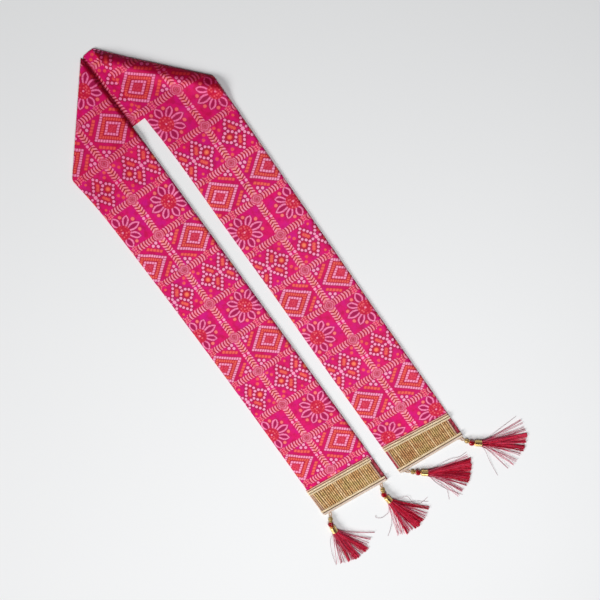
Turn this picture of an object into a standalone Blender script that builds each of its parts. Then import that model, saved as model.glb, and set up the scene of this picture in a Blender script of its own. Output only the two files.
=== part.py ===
"""Dupatta stole: a long, narrow printed strip with a gold lace and two tassels at each end.

It lies flat. Both arms run side by side from their hems to the neck, where each is folded
over on a slant, and the neck stretch joins the two folds underneath them.
X runs across the arms, +Y from the hems to the neck, Z up. Sizes are in millimetres until a
mesh is made.
"""
import math
import random
from collections import namedtuple

import bmesh
import bpy

MM = 0.001

# The strip
STRIP_THICK = 2.4          # two layers of silk, with the air and the seam allowance between them
GAP = 0.3                  # between pieces that touch
EDGE_ROUND = 2.2           # how far the strip's soft edge reaches in
TOP_STEPS = 8              # strips of faces across the top
UNDER_STEPS = 3            # strips of faces across the underside
RIPPLE_HEIGHT = 0.35       # slow rise and fall of the cloth's top
RIPPLE_START = 60.0        # the ripple fades in above the lace
RIPPLE_FADE = 80.0

# The arms climb onto the neck stretch just short of its inner edge
CLIMB_START = 598.0
CLIMB_LENGTH = 20.0
CLIMB_STEPS = 5
STRAIGHT_STEPS = 28
SLANT_STEPS = 10
FOLD_DEPTH = 3.0           # the turned-under end that belongs to the arm
FOLD_APPROACH = 7.0        # last plain section before the fold

# The neck stretch
NECK_INNER_MID = 635.0     # its inner edge, halfway between the arms
NECK_INNER_DROP = 8.5      # lower at the folds than at the middle
NECK_OUTER_MID = 752.0
NECK_OUTER_DROP = 1.5
NECK_HALF_SPAN = 124.0     # from the middle to the inner edge's ends
NECK_OUTER_HALF_SPAN = 15.0
NECK_STEPS = 14

# The lace: a ribbed metallic band between two pairs of edging cords
LACE_BASE = 0.45
RIB_RISE = 0.5
RIBS = 32
UPPER_EDGING_WIDTH = 6.6
LOWER_EDGING_WIDTH = 5.6
EDGING_HEIGHT = 1.35
EDGING_VALLEY = 0.55
EDGING_STEPS = 24
EDGING_TWIST = 0.16        # rise and fall of the cords along their length

# The tassels
THREAD_THICK = 1.2
LOOP_HALF_WIDTH = 1.7
TIE_CLEARANCE = 0.7        # a slanting loop's near end clears the hem by about the usual gap
FILIGREE_LENGTH = 6.8
FILIGREE_RADIUS = 3.5
GLASS_LENGTH = 8.0
GLASS_RADIUS = 4.2
BEAD_SIDES = 12
FILIGREE_FLUTE = 0.1       # every second corner of the filigree bead is this much shallower
CAP_LENGTH = 10.5
CAP_RADIUS = 4.7
HEAD_LENGTH = 2.2
HEAD_HALF_WIDTH = 4.5
HEAD_HALF_HEIGHT = 3.9
HEAD_BACK = 0.86           # size of the head's back beside its front
HEAD_LIFT = 0.3            # the head's lowest point over the floor
LOOP_STEPS = 12
LOOP_SIDES = 5
STRAND_COLUMNS = 14
STRAND_ROWS = 3
STRAND_INSET = 0.1
STRAND_PULL = 0.3          # how far a strand keeps to the cap's line, as a share of its length
STRAND_FILL = 0.62         # most of the room between neighbours that a strand takes
STRAND_STRAY = 0.1         # random shift of a strand, in columns
ROW_SLIP = 0.3             # each row is shifted sideways by this many columns
FAN_EVEN_SHARE = 0.26      # share of the fan that is spread evenly, the rest crowds the middle
FAN_CROWDING = 2.6
SEED = 11
CORNERS = ((0, 0), (1, 0), (1, 1), (0, 1))

Section = namedtuple("Section", "y outer inner")
Arm = namedtuple("Arm", "name sections hem_outer hem_inner fold_outer fold_inner lace")
Lace = namedtuple("Lace", "upper_outer upper_inner lower_outer lower_inner outer_x inner_x")
Tassel = namedtuple("Tassel", "name arm tie_x loop bead_angle cap_angle fan_angle "
                              "fan_right fan_left length")
StrandStation = namedtuple("StrandStation", "t half_width half_height lowest row_pitch")
Turning = namedtuple("Turning", "along radius")

# Edges of each arm, from the hem up: x of its outer and its inner edge
LEFT_SECTIONS = [
    Section(-10.0, -122.8, -10.4),
    Section(130.0, -120.6, -10.4),
    Section(290.0, -119.4, -11.0),
    Section(450.0, -120.8, -11.6),
    Section(560.0, -123.4, -12.0),
    Section(630.0, -128.7, -12.4),
    Section(760.0, -133.0, -14.6),
]
RIGHT_SECTIONS = [
    Section(-10.0, 120.8, 10.6),
    Section(100.0, 120.4, 10.6),
    Section(205.0, 120.0, 10.5),
    Section(310.0, 120.4, 11.2),
    Section(450.0, 121.0, 11.0),
    Section(560.0, 121.8, 11.2),
    Section(640.0, 121.8, 10.2),
    Section(760.0, 122.0, 12.0),
]

LEFT_LACE = Lace(upper_outer=49.5, upper_inner=44.0, lower_outer=2.8, lower_inner=-2.2,
                 outer_x=-121.8, inner_x=-15.5)
RIGHT_LACE = Lace(upper_outer=35.5, upper_inner=44.5, lower_outer=-7.4, lower_inner=-4.4,
                  outer_x=116.0, inner_x=11.6)

LEFT_ARM = Arm("left", LEFT_SECTIONS, hem_outer=1.5, hem_inner=-3.5,
               fold_outer=(-128.7, 624.5), fold_inner=(-14.6, 752.0), lace=LEFT_LACE)
RIGHT_ARM = Arm("right", RIGHT_SECTIONS, hem_outer=-8.6, hem_inner=-5.6,
                fold_outer=(121.8, 626.5), fold_inner=(11.9, 750.5), lace=RIGHT_LACE)
ARMS = [LEFT_ARM, RIGHT_ARM]

# Each tassel hangs from its tie on a hem. Angles are headings in the floor's plane, in degrees
# from +X; fan_right and fan_left are how far the skirt spreads to either side of fan_angle.
TASSELS = [
    Tassel("left_outer", LEFT_ARM, -112.0, 7.3, -122.0, -96.0, -87.0, 37.0, 52.0, 57.0),
    Tassel("left_inner", LEFT_ARM, -22.5, 6.2, -108.0, -83.0, -78.0, 48.0, 50.0, 60.0),
    Tassel("right_inner", RIGHT_ARM, 17.0, 8.2, -38.5, -37.0, -30.0, 56.0, 26.0, 65.0),
    Tassel("right_outer", RIGHT_ARM, 114.0, 6.4, -54.0, -38.0, -32.0, 64.0, 38.0, 65.0),
]

# A strand along its length: its half sizes, and how high its row lies over the floor
STRAND_STATIONS = [
    StrandStation(0.36, 0.36, 0.50, 1.00, 1.50),
    StrandStation(0.70, 0.52, 0.42, 0.62, 1.15),
    StrandStation(1.00, 0.42, 0.34, 0.46, 0.95),
]

# Turned pieces, by the distance along their line
FILIGREE_PROFILE = [
    Turning(0.0, 1.5),
    Turning(0.2 * FILIGREE_LENGTH, 3.1),
    Turning(0.5 * FILIGREE_LENGTH, FILIGREE_RADIUS),
    Turning(0.8 * FILIGREE_LENGTH, 3.1),
    Turning(FILIGREE_LENGTH, 1.5),
]
GLASS_PROFILE = [Turning(-GLASS_LENGTH / 2, 1.3)]
GLASS_PROFILE += [Turning(-math.cos(math.radians(a)) * GLASS_RADIUS,
                          math.sin(math.radians(a)) * GLASS_RADIUS) for a in (36, 62, 90, 118, 144)]
GLASS_PROFILE.append(Turning(GLASS_LENGTH / 2, 1.3))
CAP_PROFILE = [
    Turning(0.0, 3.0),
    Turning(0.6, 4.1),
    Turning(2.2, 4.3),
    Turning(2.7, 3.9),
    Turning(7.4, 4.1),
    Turning(7.9, 4.5),
    Turning(CAP_LENGTH, CAP_RADIUS),
]

SILK_PRINT = ("Printed silk", (0.62, 0.012, 0.13), 0.45, 0.0)
SILK_BACK = ("Printed silk, neck", (0.55, 0.01, 0.12), 0.45, 0.0)
LACE_GOLD = ("Gold lace", (0.52, 0.31, 0.09), 0.38, 0.8)
EDGING_GOLD = ("Gold edging cord", (0.66, 0.47, 0.21), 0.42, 0.7)
THREAD_GOLD = ("Gold thread", (0.62, 0.45, 0.2), 0.5, 0.4)
FILIGREE_GOLD = ("Filigree metal", (0.6, 0.4, 0.12), 0.3, 1.0)
RED_GLASS = ("Red glass", (0.25, 0.003, 0.01), 0.08, 0.0)
CAP_GOLD = ("Gold cap", (0.8, 0.6, 0.1), 0.2, 1.0)
TASSEL_SILK = ("Tassel silk", (0.42, 0.006, 0.03), 0.4, 0.0)


# Helpers

def smooth(t):
    """0 before 0, 1 after 1, and an even S between them."""
    t = min(max(t, 0.0), 1.0)
    return t * t * (3.0 - 2.0 * t)


def mix(a, b, t):
    return a + (b - a) * t


def heading(degrees):
    angle = math.radians(degrees)
    return math.cos(angle), math.sin(angle)


def move(point, direction, distance):
    return point[0] + direction[0] * distance, point[1] + direction[1] * distance


def edge_x(arm, column, y):
    """The x of an arm's edge at y, on a smooth curve through the table's rows."""
    rows = arm.sections
    y = min(max(y, rows[0].y), rows[-1].y)
    index = 0
    while index < len(rows) - 2 and y > rows[index + 1].y:
        index += 1
    before = rows[max(index - 1, 0)]
    low = rows[index]
    high = rows[index + 1]
    after = rows[min(index + 2, len(rows) - 1)]
    span = high.y - low.y
    slope_low = (getattr(high, column) - getattr(before, column)) / (high.y - before.y) * span
    slope_high = (getattr(after, column) - getattr(low, column)) / (after.y - low.y) * span
    t = (y - low.y) / span
    return (getattr(low, column) * (2 * t ** 3 - 3 * t ** 2 + 1)
            + getattr(high, column) * (3 * t ** 2 - 2 * t ** 3)
            + slope_low * (t ** 3 - 2 * t ** 2 + t) + slope_high * (t ** 3 - t ** 2))


def material(spec):
    name, colour, roughness, metallic = spec
    if name in bpy.data.materials:
        return bpy.data.materials[name]
    made = bpy.data.materials.new(name)
    made.use_nodes = True
    shader = made.node_tree.nodes["Principled BSDF"]
    shader.inputs["Base Color"].default_value = (*colour, 1.0)
    shader.inputs["Roughness"].default_value = roughness
    shader.inputs["Metallic"].default_value = metallic
    return made


def object_from(mesh, name, spec, smooth_angle=35.0):
    """Turn a bmesh in millimetres into a scene object with its material."""
    bmesh.ops.recalc_face_normals(mesh, faces=mesh.faces)
    bmesh.ops.scale(mesh, vec=(MM, MM, MM), verts=mesh.verts)
    data = bpy.data.meshes.new(name)
    mesh.to_mesh(data)
    mesh.free()
    data.materials.append(material(spec))
    data.shade_smooth()
    data.set_sharp_from_angle(angle=math.radians(smooth_angle))
    made = bpy.data.objects.new(name, data)
    bpy.context.collection.objects.link(made)
    return made


def body_through(rings, name, spec, closed=False):
    """One solid through rings of points: quads between them, and a face over each open end."""
    mesh = bmesh.new()
    loops = [[mesh.verts.new(point) for point in ring] for ring in rings]
    pairs = list(zip(loops, loops[1:]))
    if closed:
        pairs.append((loops[-1], loops[0]))
    for low, high in pairs:
        count = len(low)
        for i in range(count):
            j = (i + 1) % count
            mesh.faces.new((low[i], low[j], high[j], high[i]))
    if not closed:
        mesh.faces.new(loops[0])
        mesh.faces.new(loops[-1])
    return object_from(mesh, name, spec)


# The printed strip: two arms and the neck stretch

def ripple(x, y):
    """How far the top stands above the plain strip: nothing under the lace."""
    fade = smooth((y - RIPPLE_START) / RIPPLE_FADE)
    wave = math.sin(y / 31.0 + x / 47.0) + 0.6 * math.sin(y / 13.7 - x / 29.0 + 1.1)
    return fade * RIPPLE_HEIGHT * (0.5 + 0.3 * wave)


def climb(y):
    """Height of an arm's underside: on the floor, then on top of the neck stretch."""
    return (STRIP_THICK + GAP) * smooth((y - CLIMB_START) / CLIMB_LENGTH)


def strip_ring(start, end, bottom, top, rippled=True):
    """The strip's section between two edge points: soft edges, plain below, rippled on top."""
    width = math.dist(start, end)
    across = ((end[0] - start[0]) / width, (end[1] - start[1]) / width)
    middle = (bottom + top) / 2
    half = (top - bottom) / 2
    quarter = [(EDGE_ROUND * (1 - math.cos(a)), middle + half * math.sin(a))
               for a in (0.0, math.radians(35), math.radians(66))]
    section = list(quarter)
    for step in range(TOP_STEPS + 1):
        section.append((mix(EDGE_ROUND, width - EDGE_ROUND, step / TOP_STEPS), None))
    section += [(width - distance, height) for distance, height in reversed(quarter)]
    for step in range(UNDER_STEPS + 1):
        section.append((mix(width - EDGE_ROUND, EDGE_ROUND, step / UNDER_STEPS), bottom))
    ring = []
    for distance, height in section:
        x, y = move(start, across, distance)
        if height is None:
            height = top + (ripple(x, y) if rippled else 0.0)
        ring.append((x, y, height))
    return ring


def nose(height, reach, angles):
    """A rounded end, from its tip inward: (inset, bottom, top) at each angle."""
    return [(reach * (1 - math.sin(math.radians(a))),
             height / 2 * (1 - math.cos(math.radians(a))),
             height / 2 * (1 + math.cos(math.radians(a)))) for a in angles]


def fold_slope(arm):
    return ((arm.fold_inner[1] - arm.fold_outer[1]) / (arm.fold_inner[0] - arm.fold_outer[0]))


def fold_y(arm, x, inset):
    """The y of a line that lies inset short of the fold, at x."""
    slope = fold_slope(arm)
    return (arm.fold_outer[1] + slope * (x - arm.fold_outer[0])
            - inset * math.sqrt(1 + slope * slope))


def beside_fold(arm, column, inset):
    """Where the line that lies inset short of the fold meets one of the arm's edges."""
    y = fold_y(arm, edge_x(arm, column, arm.fold_outer[1]), inset)
    for _ in range(6):
        y = fold_y(arm, edge_x(arm, column, y), inset)
    return edge_x(arm, column, y), y


def build_arm(arm):
    """One arm, from its rounded hem, up the step at the neck, to its rounded slanting fold."""
    rings = []

    def section(y_outer, y_inner, bottom, top, rippled=True):
        outer = (edge_x(arm, "outer", y_outer), y_outer)
        inner = (edge_x(arm, "inner", y_inner), y_inner)
        rings.append(strip_ring(outer, inner, bottom, top, rippled))

    for inset, bottom, top in nose(STRIP_THICK, EDGE_ROUND, (78, 45, 0)):
        section(arm.hem_outer + inset, arm.hem_inner + inset, bottom, top)
    for step in range(1, STRAIGHT_STEPS + 1):
        t = step / STRAIGHT_STEPS
        section(mix(arm.hem_outer + EDGE_ROUND, CLIMB_START, t),
                mix(arm.hem_inner + EDGE_ROUND, CLIMB_START, t), 0.0, STRIP_THICK)
    for step in range(1, CLIMB_STEPS + 1):
        y = CLIMB_START + CLIMB_LENGTH * step / CLIMB_STEPS
        section(y, y, climb(y), climb(y) + STRIP_THICK)
    climbed = CLIMB_START + CLIMB_LENGTH
    raised = climb(climbed)
    last_outer = beside_fold(arm, "outer", FOLD_APPROACH)[1]
    last_inner = beside_fold(arm, "inner", FOLD_APPROACH)[1]
    for step in range(1, SLANT_STEPS + 1):
        t = step / SLANT_STEPS
        section(max(mix(climbed, last_outer, t), climbed + t), mix(climbed, last_inner, t),
                raised, raised + STRIP_THICK)
    folded = 2 * STRIP_THICK + GAP
    ends = [(FOLD_DEPTH + GAP, raised, folded), (FOLD_DEPTH, 0.0, folded)]
    ends += reversed(nose(folded, folded / 2, (78, 58, 34, 0)))
    for inset, bottom, top in ends:
        section(beside_fold(arm, "outer", inset)[1], beside_fold(arm, "inner", inset)[1],
                bottom, top, rippled=False)
    return body_through(rings, "arm_" + arm.name, SILK_PRINT)


def neck_inner_y(x):
    return NECK_INNER_MID - NECK_INNER_DROP * (x / NECK_HALF_SPAN) ** 2


def neck_outer_y(x):
    return NECK_OUTER_MID - NECK_OUTER_DROP * (x / NECK_OUTER_HALF_SPAN) ** 2


def neck_end(arm, column, edge_y):
    """Where an edge of the neck stretch reaches the turned-under end of an arm."""
    inset = FOLD_DEPTH + 2 * GAP
    slope = fold_slope(arm)
    x = edge_x(arm, column, arm.fold_outer[1])
    for _ in range(12):
        x += (edge_y(x) - fold_y(arm, x, inset)) / slope
    return x, edge_y(x)


def build_neck():
    """The stretch behind the neck, between the two folds and under both arms."""
    left_inner, left_outer = (neck_end(LEFT_ARM, "outer", neck_inner_y),
                              neck_end(LEFT_ARM, "inner", neck_outer_y))
    right_inner, right_outer = (neck_end(RIGHT_ARM, "outer", neck_inner_y),
                                neck_end(RIGHT_ARM, "inner", neck_outer_y))
    rings = []
    for step in range(NECK_STEPS + 1):
        t = step / NECK_STEPS
        inner_x = mix(left_inner[0], right_inner[0], t)
        outer_x = mix(left_outer[0], right_outer[0], t)
        rings.append(strip_ring((inner_x, neck_inner_y(inner_x)),
                                (outer_x, neck_outer_y(outer_x)),
                                0.0, STRIP_THICK, rippled=False))
    return body_through(rings, "neck_stretch", SILK_BACK)


# The gold lace on each arm's end

def lace_point(lace, across, edge, inset):
    """A point on the lace: across from 0 at its outer side to 1, inset from an edge inward."""
    if edge == "upper":
        y = mix(lace.upper_outer, lace.upper_inner, across) - inset
    else:
        y = mix(lace.lower_outer, lace.lower_inner, across) + inset
    return mix(lace.outer_x, lace.inner_x, across), y


def build_lace_field(arm):
    """The ribbed part: ribs run along the arm, from one pair of edging cords to the other."""
    profile = []
    for rib in range(RIBS):
        profile += [(rib / RIBS, LACE_BASE), ((rib + 0.3) / RIBS, LACE_BASE + RIB_RISE),
                    ((rib + 0.7) / RIBS, LACE_BASE + RIB_RISE)]
    profile += [(1.0, LACE_BASE), (1.0, 0.0), (0.0, 0.0)]
    floor = STRIP_THICK + GAP
    rings = []
    for down in (0.0, 0.5, 1.0):
        ring = []
        for across, height in profile:
            x, y_upper = lace_point(arm.lace, across, "upper", UPPER_EDGING_WIDTH + GAP)
            y_lower = lace_point(arm.lace, across, "lower", LOWER_EDGING_WIDTH + GAP)[1]
            ring.append((x, mix(y_upper, y_lower, down), floor + height))
        rings.append(ring)
    return body_through(rings, "lace_" + arm.name, LACE_GOLD)


def build_edging(arm, edge, width):
    """A pair of cords side by side, sewn along one edge of the lace."""
    ridge = [(0.0, 0.0), (0.0, 0.35), (0.14, 0.9), (0.30, 1.0), (0.5, EDGING_VALLEY),
             (0.70, 1.0), (0.86, 0.9), (1.0, 0.35), (1.0, 0.0)]
    floor = STRIP_THICK + GAP
    rings = []
    for step in range(EDGING_STEPS + 1):
        across = step / EDGING_STEPS
        twist = 1 - EDGING_TWIST * (step % 2)
        ring = []
        for inset, height in ridge:
            x, y = lace_point(arm.lace, across, edge, inset * width)
            ring.append((x, y, floor + height * EDGING_HEIGHT * twist))
        rings.append(ring)
    return body_through(rings, "edging_%s_%s" % (arm.name, edge), EDGING_GOLD)


# The tassels

def turned(name, spec, centre, angle, profile, flute=0.0):
    """A turned piece that lies on the floor, through a profile's rows."""
    along = heading(angle)
    side = (-along[1], along[0])
    height = max(row.radius for row in profile)
    rings = []
    for distance, radius in profile:
        ring = []
        for step in range(BEAD_SIDES):
            turn = 2 * math.pi * step / BEAD_SIDES
            reach = radius * (1 - flute * (step % 2))
            x, y = move(move(centre, along, distance), side, reach * math.cos(turn))
            ring.append((x, y, height + reach * math.sin(turn)))
        rings.append(ring)
    return body_through(rings, name, spec)


def build_loop(name, start, angle, length, far_height):
    """A loop of gold thread, from the hem to the first bead."""
    along = heading(angle)
    side = (-along[1], along[0])
    radius = THREAD_THICK / 2
    rings = []
    for step in range(LOOP_STEPS):
        turn = 2 * math.pi * step / LOOP_STEPS
        outward = (math.cos(turn), math.sin(turn))
        ring = []
        for corner in range(LOOP_SIDES):
            lean = 2 * math.pi * corner / LOOP_SIDES
            grow = radius * math.cos(lean)
            forward = length / 2 + (length / 2 - radius + grow) * outward[0]
            sideways = (LOOP_HALF_WIDTH + grow) * outward[1]
            x, y = move(move(start, along, forward), side, sideways)
            middle = mix(STRIP_THICK / 2, far_height, forward / length)
            ring.append((x, y, middle + radius * math.sin(lean)))
        rings.append(ring)
    return body_through(rings, name, THREAD_GOLD, closed=True)


def fan_offset(tassel, place):
    """How far a strand at place, -1 to 1 across the fan, turns from the fan's own heading."""
    spread = tassel.fan_left if place > 0 else tassel.fan_right
    share = FAN_EVEN_SHARE * abs(place) + (1 - FAN_EVEN_SHARE) * abs(place) ** FAN_CROWDING
    return math.copysign(spread * share, place)


def strand_point(tassel, root, start, place, length, t):
    """A strand's middle at t along it, and the level direction across it there."""
    pull = move(start, heading(tassel.cap_angle), STRAND_PULL * length)
    tip = move(root, heading(tassel.fan_angle + fan_offset(tassel, place)), length)
    spot = tuple((1 - t) ** 2 * a + 2 * t * (1 - t) * b + t * t * c
                 for a, b, c in zip(start, pull, tip))
    run = [(1 - t) * (b - a) + t * (c - b) for a, b, c in zip(start, pull, tip)]
    size = math.hypot(*run)
    return spot, (-run[1] / size, run[0] / size)


def build_skirt(tassel, root, rng):
    """The silk skirt: strands drawn out of the face of a short bound head."""
    along = heading(tassel.cap_angle)
    side = (-along[1], along[0])
    mesh = bmesh.new()

    def head_point(p, q, distance, scale):
        across = HEAD_HALF_WIDTH * p * math.sqrt(1 - q * q / 2) * scale
        up = HEAD_HALF_HEIGHT * q * math.sqrt(1 - p * p / 2) * scale
        x, y = move(move(root, along, distance), side, across)
        return x, y, HEAD_HALF_HEIGHT + HEAD_LIFT + up

    grid = [[mesh.verts.new(head_point(2 * c / STRAND_COLUMNS - 1, 2 * r / STRAND_ROWS - 1,
                                       HEAD_LENGTH, 1.0))
             for r in range(STRAND_ROWS + 1)] for c in range(STRAND_COLUMNS + 1)]
    faces = {}
    for c in range(STRAND_COLUMNS):
        for r in range(STRAND_ROWS):
            faces[c, r] = mesh.faces.new((grid[c][r], grid[c + 1][r],
                                          grid[c + 1][r + 1], grid[c][r + 1]))
    rim = [(c, 0) for c in range(STRAND_COLUMNS)]
    rim += [(STRAND_COLUMNS, r) for r in range(STRAND_ROWS)]
    rim += [(c, STRAND_ROWS) for c in range(STRAND_COLUMNS, 0, -1)]
    rim += [(0, r) for r in range(STRAND_ROWS, 0, -1)]
    back = [mesh.verts.new(head_point(2 * c / STRAND_COLUMNS - 1, 2 * r / STRAND_ROWS - 1,
                                      0.0, HEAD_BACK)) for c, r in rim]
    for i, (c, r) in enumerate(rim):
        j = (i + 1) % len(rim)
        next_c, next_r = rim[j]
        mesh.faces.new((grid[c][r], back[i], back[j], grid[next_c][next_r]))
    mesh.faces.new(back)
    mesh.normal_update()
    bmesh.ops.inset_individual(mesh, faces=list(faces.values()), thickness=STRAND_INSET)

    for (c, r), face in faces.items():
        centre = face.calc_center_median()
        corners = {}
        for vert in face.verts:
            nearest = min(CORNERS, key=lambda corner: (
                grid[c + corner[0]][r + corner[1]].co - vert.co).length)
            corners[vert.co.to_tuple(3)] = (2 * nearest[0] - 1, 2 * nearest[1] - 1)
        slip = (r - (STRAND_ROWS - 1) / 2) * ROW_SLIP + rng.uniform(-STRAND_STRAY, STRAND_STRAY)
        place = (c + 0.5 + slip) / STRAND_COLUMNS * 2 - 1
        length = tassel.length * rng.uniform(0.93, 1.0)
        start = (centre.x, centre.y)
        for station in STRAND_STATIONS:
            (x, y), lateral = strand_point(tassel, root, start, place, length, station.t)
            beside = move(start, side, 2 * HEAD_HALF_WIDTH / STRAND_COLUMNS)
            (next_x, next_y), _ = strand_point(tassel, root, beside,
                                               place + 2 / STRAND_COLUMNS, length, station.t)
            pitch = math.hypot(next_x - x, next_y - y)
            half_width = min(station.half_width, STRAND_FILL / 2 * pitch)
            z = station.lowest + r * station.row_pitch
            face = bmesh.ops.extrude_discrete_faces(mesh, faces=[face])["faces"][0]
            moved = {}
            for vert in face.verts:
                sideways, up = corners[vert.co.to_tuple(3)]
                vx, vy = move((x, y), lateral, sideways * half_width)
                vert.co = (vx, vy, z + up * station.half_height)
                moved[vert.co.to_tuple(3)] = (sideways, up)
            corners = moved
    return object_from(mesh, "skirt_" + tassel.name, TASSEL_SILK, smooth_angle=50.0)


def hem_y(arm, x):
    outer = edge_x(arm, "outer", arm.hem_outer)
    inner = edge_x(arm, "inner", arm.hem_inner)
    return mix(arm.hem_outer, arm.hem_inner, (x - outer) / (inner - outer))


def build_tassel(tassel, rng):
    """Thread loop, filigree bead, glass bead, gold cap and skirt, one after the other."""
    bead_line = heading(tassel.bead_angle)
    cap_line = heading(tassel.cap_angle)
    spot = (tassel.tie_x, hem_y(tassel.arm, tassel.tie_x))
    spot = move(spot, bead_line, TIE_CLEARANCE)
    made = [build_loop("loop_" + tassel.name, spot, tassel.bead_angle, tassel.loop,
                       FILIGREE_RADIUS)]
    spot = move(spot, bead_line, tassel.loop + GAP)
    made.append(turned("filigree_bead_" + tassel.name, FILIGREE_GOLD, spot, tassel.bead_angle,
                       FILIGREE_PROFILE, flute=FILIGREE_FLUTE))
    spot = move(spot, bead_line, FILIGREE_LENGTH + GAP + GLASS_LENGTH / 2)
    made.append(turned("glass_bead_" + tassel.name, RED_GLASS, spot, tassel.bead_angle,
                       GLASS_PROFILE))
    spot = move(spot, cap_line, GLASS_RADIUS + GAP)
    made.append(turned("cap_" + tassel.name, CAP_GOLD, spot, tassel.cap_angle, CAP_PROFILE))
    made.append(build_skirt(tassel, move(spot, cap_line, CAP_LENGTH + GAP), rng))
    return made


def centre_on_floor(objects):
    """Move everything so that the origin is the middle of the whole stole's footprint."""
    spots = [vert.co for made in objects for vert in made.data.vertices]
    middle_x = (min(spot.x for spot in spots) + max(spot.x for spot in spots)) / 2
    middle_y = (min(spot.y for spot in spots) + max(spot.y for spot in spots)) / 2
    for made in objects:
        made.location = (-middle_x, -middle_y, 0.0)


for old in list(bpy.data.objects):
    bpy.data.objects.remove(old, do_unlink=True)

rng = random.Random(SEED)
pieces = [build_arm(arm) for arm in ARMS]
pieces.append(build_neck())
for arm in ARMS:
    pieces.append(build_lace_field(arm))
    pieces.append(build_edging(arm, "upper", UPPER_EDGING_WIDTH))
    pieces.append(build_edging(arm, "lower", LOWER_EDGING_WIDTH))
for tassel in TASSELS:
    pieces += build_tassel(tassel, rng)
centre_on_floor(pieces)
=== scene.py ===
"""A dupatta stole laid flat: a long, narrow strip of printed silk, folded over on a slant at both
sides of the neck, with a gold lace and two beaded silk tassels at each end.

Sizes and places are in millimetres, in the stole's own layout: x runs across the two arms from
midway between them, y from the hems to the neck, and z up from the surface. at() carries them
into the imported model's frame.
"""
import math
import random
from collections import namedtuple

import bmesh
import bpy
from mathutils import Matrix, Vector


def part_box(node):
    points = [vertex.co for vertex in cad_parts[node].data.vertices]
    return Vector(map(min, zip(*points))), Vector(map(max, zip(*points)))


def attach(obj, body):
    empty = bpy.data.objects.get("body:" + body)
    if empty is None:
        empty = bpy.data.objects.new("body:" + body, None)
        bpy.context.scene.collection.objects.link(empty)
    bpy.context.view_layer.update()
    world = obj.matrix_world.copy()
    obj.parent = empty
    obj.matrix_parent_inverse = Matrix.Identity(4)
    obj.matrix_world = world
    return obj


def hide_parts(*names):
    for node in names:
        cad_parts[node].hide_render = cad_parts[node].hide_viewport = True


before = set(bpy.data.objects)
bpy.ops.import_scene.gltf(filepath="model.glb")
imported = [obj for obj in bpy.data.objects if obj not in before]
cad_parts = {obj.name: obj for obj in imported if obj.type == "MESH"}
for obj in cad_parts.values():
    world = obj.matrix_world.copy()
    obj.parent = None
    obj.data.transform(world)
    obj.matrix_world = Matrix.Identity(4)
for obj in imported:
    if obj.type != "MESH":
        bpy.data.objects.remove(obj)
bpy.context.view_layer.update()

MM = 0.001

# The layout is tied to the frame at the left lace's upper outer corner.
LACE_CORNER = (-121.8, 49.5)
corner_low, corner_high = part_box("edging_left_upper")
SHIFT = Vector((corner_low.x - LACE_CORNER[0] * MM, corner_high.y - LACE_CORNER[1] * MM, 0.0))


def at(x, y, z):
    """A place in the layout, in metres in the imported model's frame."""
    return Vector((x, y, z)) * MM + SHIFT


# ---------------------------------------------------------------------------------------------
# The printed silk
# A light silk, piece-dyed hot pink with a shot look and printed in pale pink and orange with a
# tie-dye style trellis. Each cell holds a lozenge, a flower or a butterfly of dots, by turns.
# ---------------------------------------------------------------------------------------------

CUT_UNIT = 100.0               # one unit of the cut's UV map, in millimetres
CELL_ACROSS = 82.7             # from one lengthwise braid of the trellis to the next
CELL_ALONG = 62.2              # from one cross braid to the next
HALF_ACROSS = CELL_ACROSS / 2
HALF_ALONG = CELL_ALONG / 2
SWAY = 2.2                     # how far the hand-tied marks stray from their lines
RAGGED = 0.95                  # how ragged their edges are
HEM_BORDER = 36.0              # the print stops here, under the lace's upper edge
NECK_SHADE_FROM = 560.0          # from here to the neck the colour is painted a little darker, as shade
THREAD_PITCH = 0.42            # of the weave
WEAVE_DEPTH = 0.000012         # in metres

# The trellis: a braid is this far from its middle line to its edge, and ends this far short of
# the pair of dots that parts two cells
BRAID_HALF = 5.2
CROSS_HALF = 4.8
BRAID_GAP = 3.3
CROSS_GAP = 3.4
CHEVRON_PITCH = 4.6
ARC_PITCH = 4.5
RUNG_PITCH = 3.1               # of the ladder of dots between two corners of the cells
KNOT_SIZE = 8.3                # half width of the rosette where two braids cross

# The lozenge's outer ring; the other rings are shares of its size
LOZENGE_WIDE = 28.9            # half width
LOZENGE_LONG = 23.0
LOZENGE_SIDE = 19.0            # from the middle of a side to its end
ORANGE_RING = 0.72
INNER_RING = 0.43
CORNER_DASHES = 1.5
CORNER_TRIO = [(30.9, 24.0), (30.9, 18.0), (25.0, 22.2)]

# The flower: half width and middle of its petals, and how far their tip and foot are from there
Petal = namedtuple("Petal", "half_width middle tip_reach foot_reach")
PETAL_ALONG = Petal(4.6, 17.2, 7.4, 8.2)
PETAL_ACROSS = Petal(4.2, 19.0, 9.6, 12.5)
PETAL_LEANING = Petal(3.7, 19.8, 6.2, 12.0)
PETAL_LEAN = 41.0              # degrees
FLOWER_REACH = 30.4
FLOWER_EYE = 11.0
FLOWER_SPOTS = [(24.2, 8.6), (10.0, 20.2)]

# The butterfly: dots of one quarter of a cell, from its middle
BUTTERFLY_OUTLINE = [(0.0, 5.0), (6.2, 0.0), (11.4, 0.0), (14.7, 4.4), (18.9, 8.2), (24.3, 7.6),
                     (28.6, 4.3), (31.6, 0.0), (3.5, 9.2), (6.3, 13.7), (9.9, 18.2),
                     (13.4, 22.8), (17.4, 18.8), (20.2, 13.5)]
BUTTERFLY_LEAF = [(9.0, 7.5), (11.5, 11.0), (14.0, 15.5)]
BUTTERFLY_SPOTS = [(13.2, 12.4), (11.4, 9.8), (9.4, 7.0), (32.6, 21.8), (28.2, 15.8)]
BUTTERFLY_WING = (21.9, 0.0)
BUTTERFLY_HEAD = (0.0, 22.6)


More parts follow.
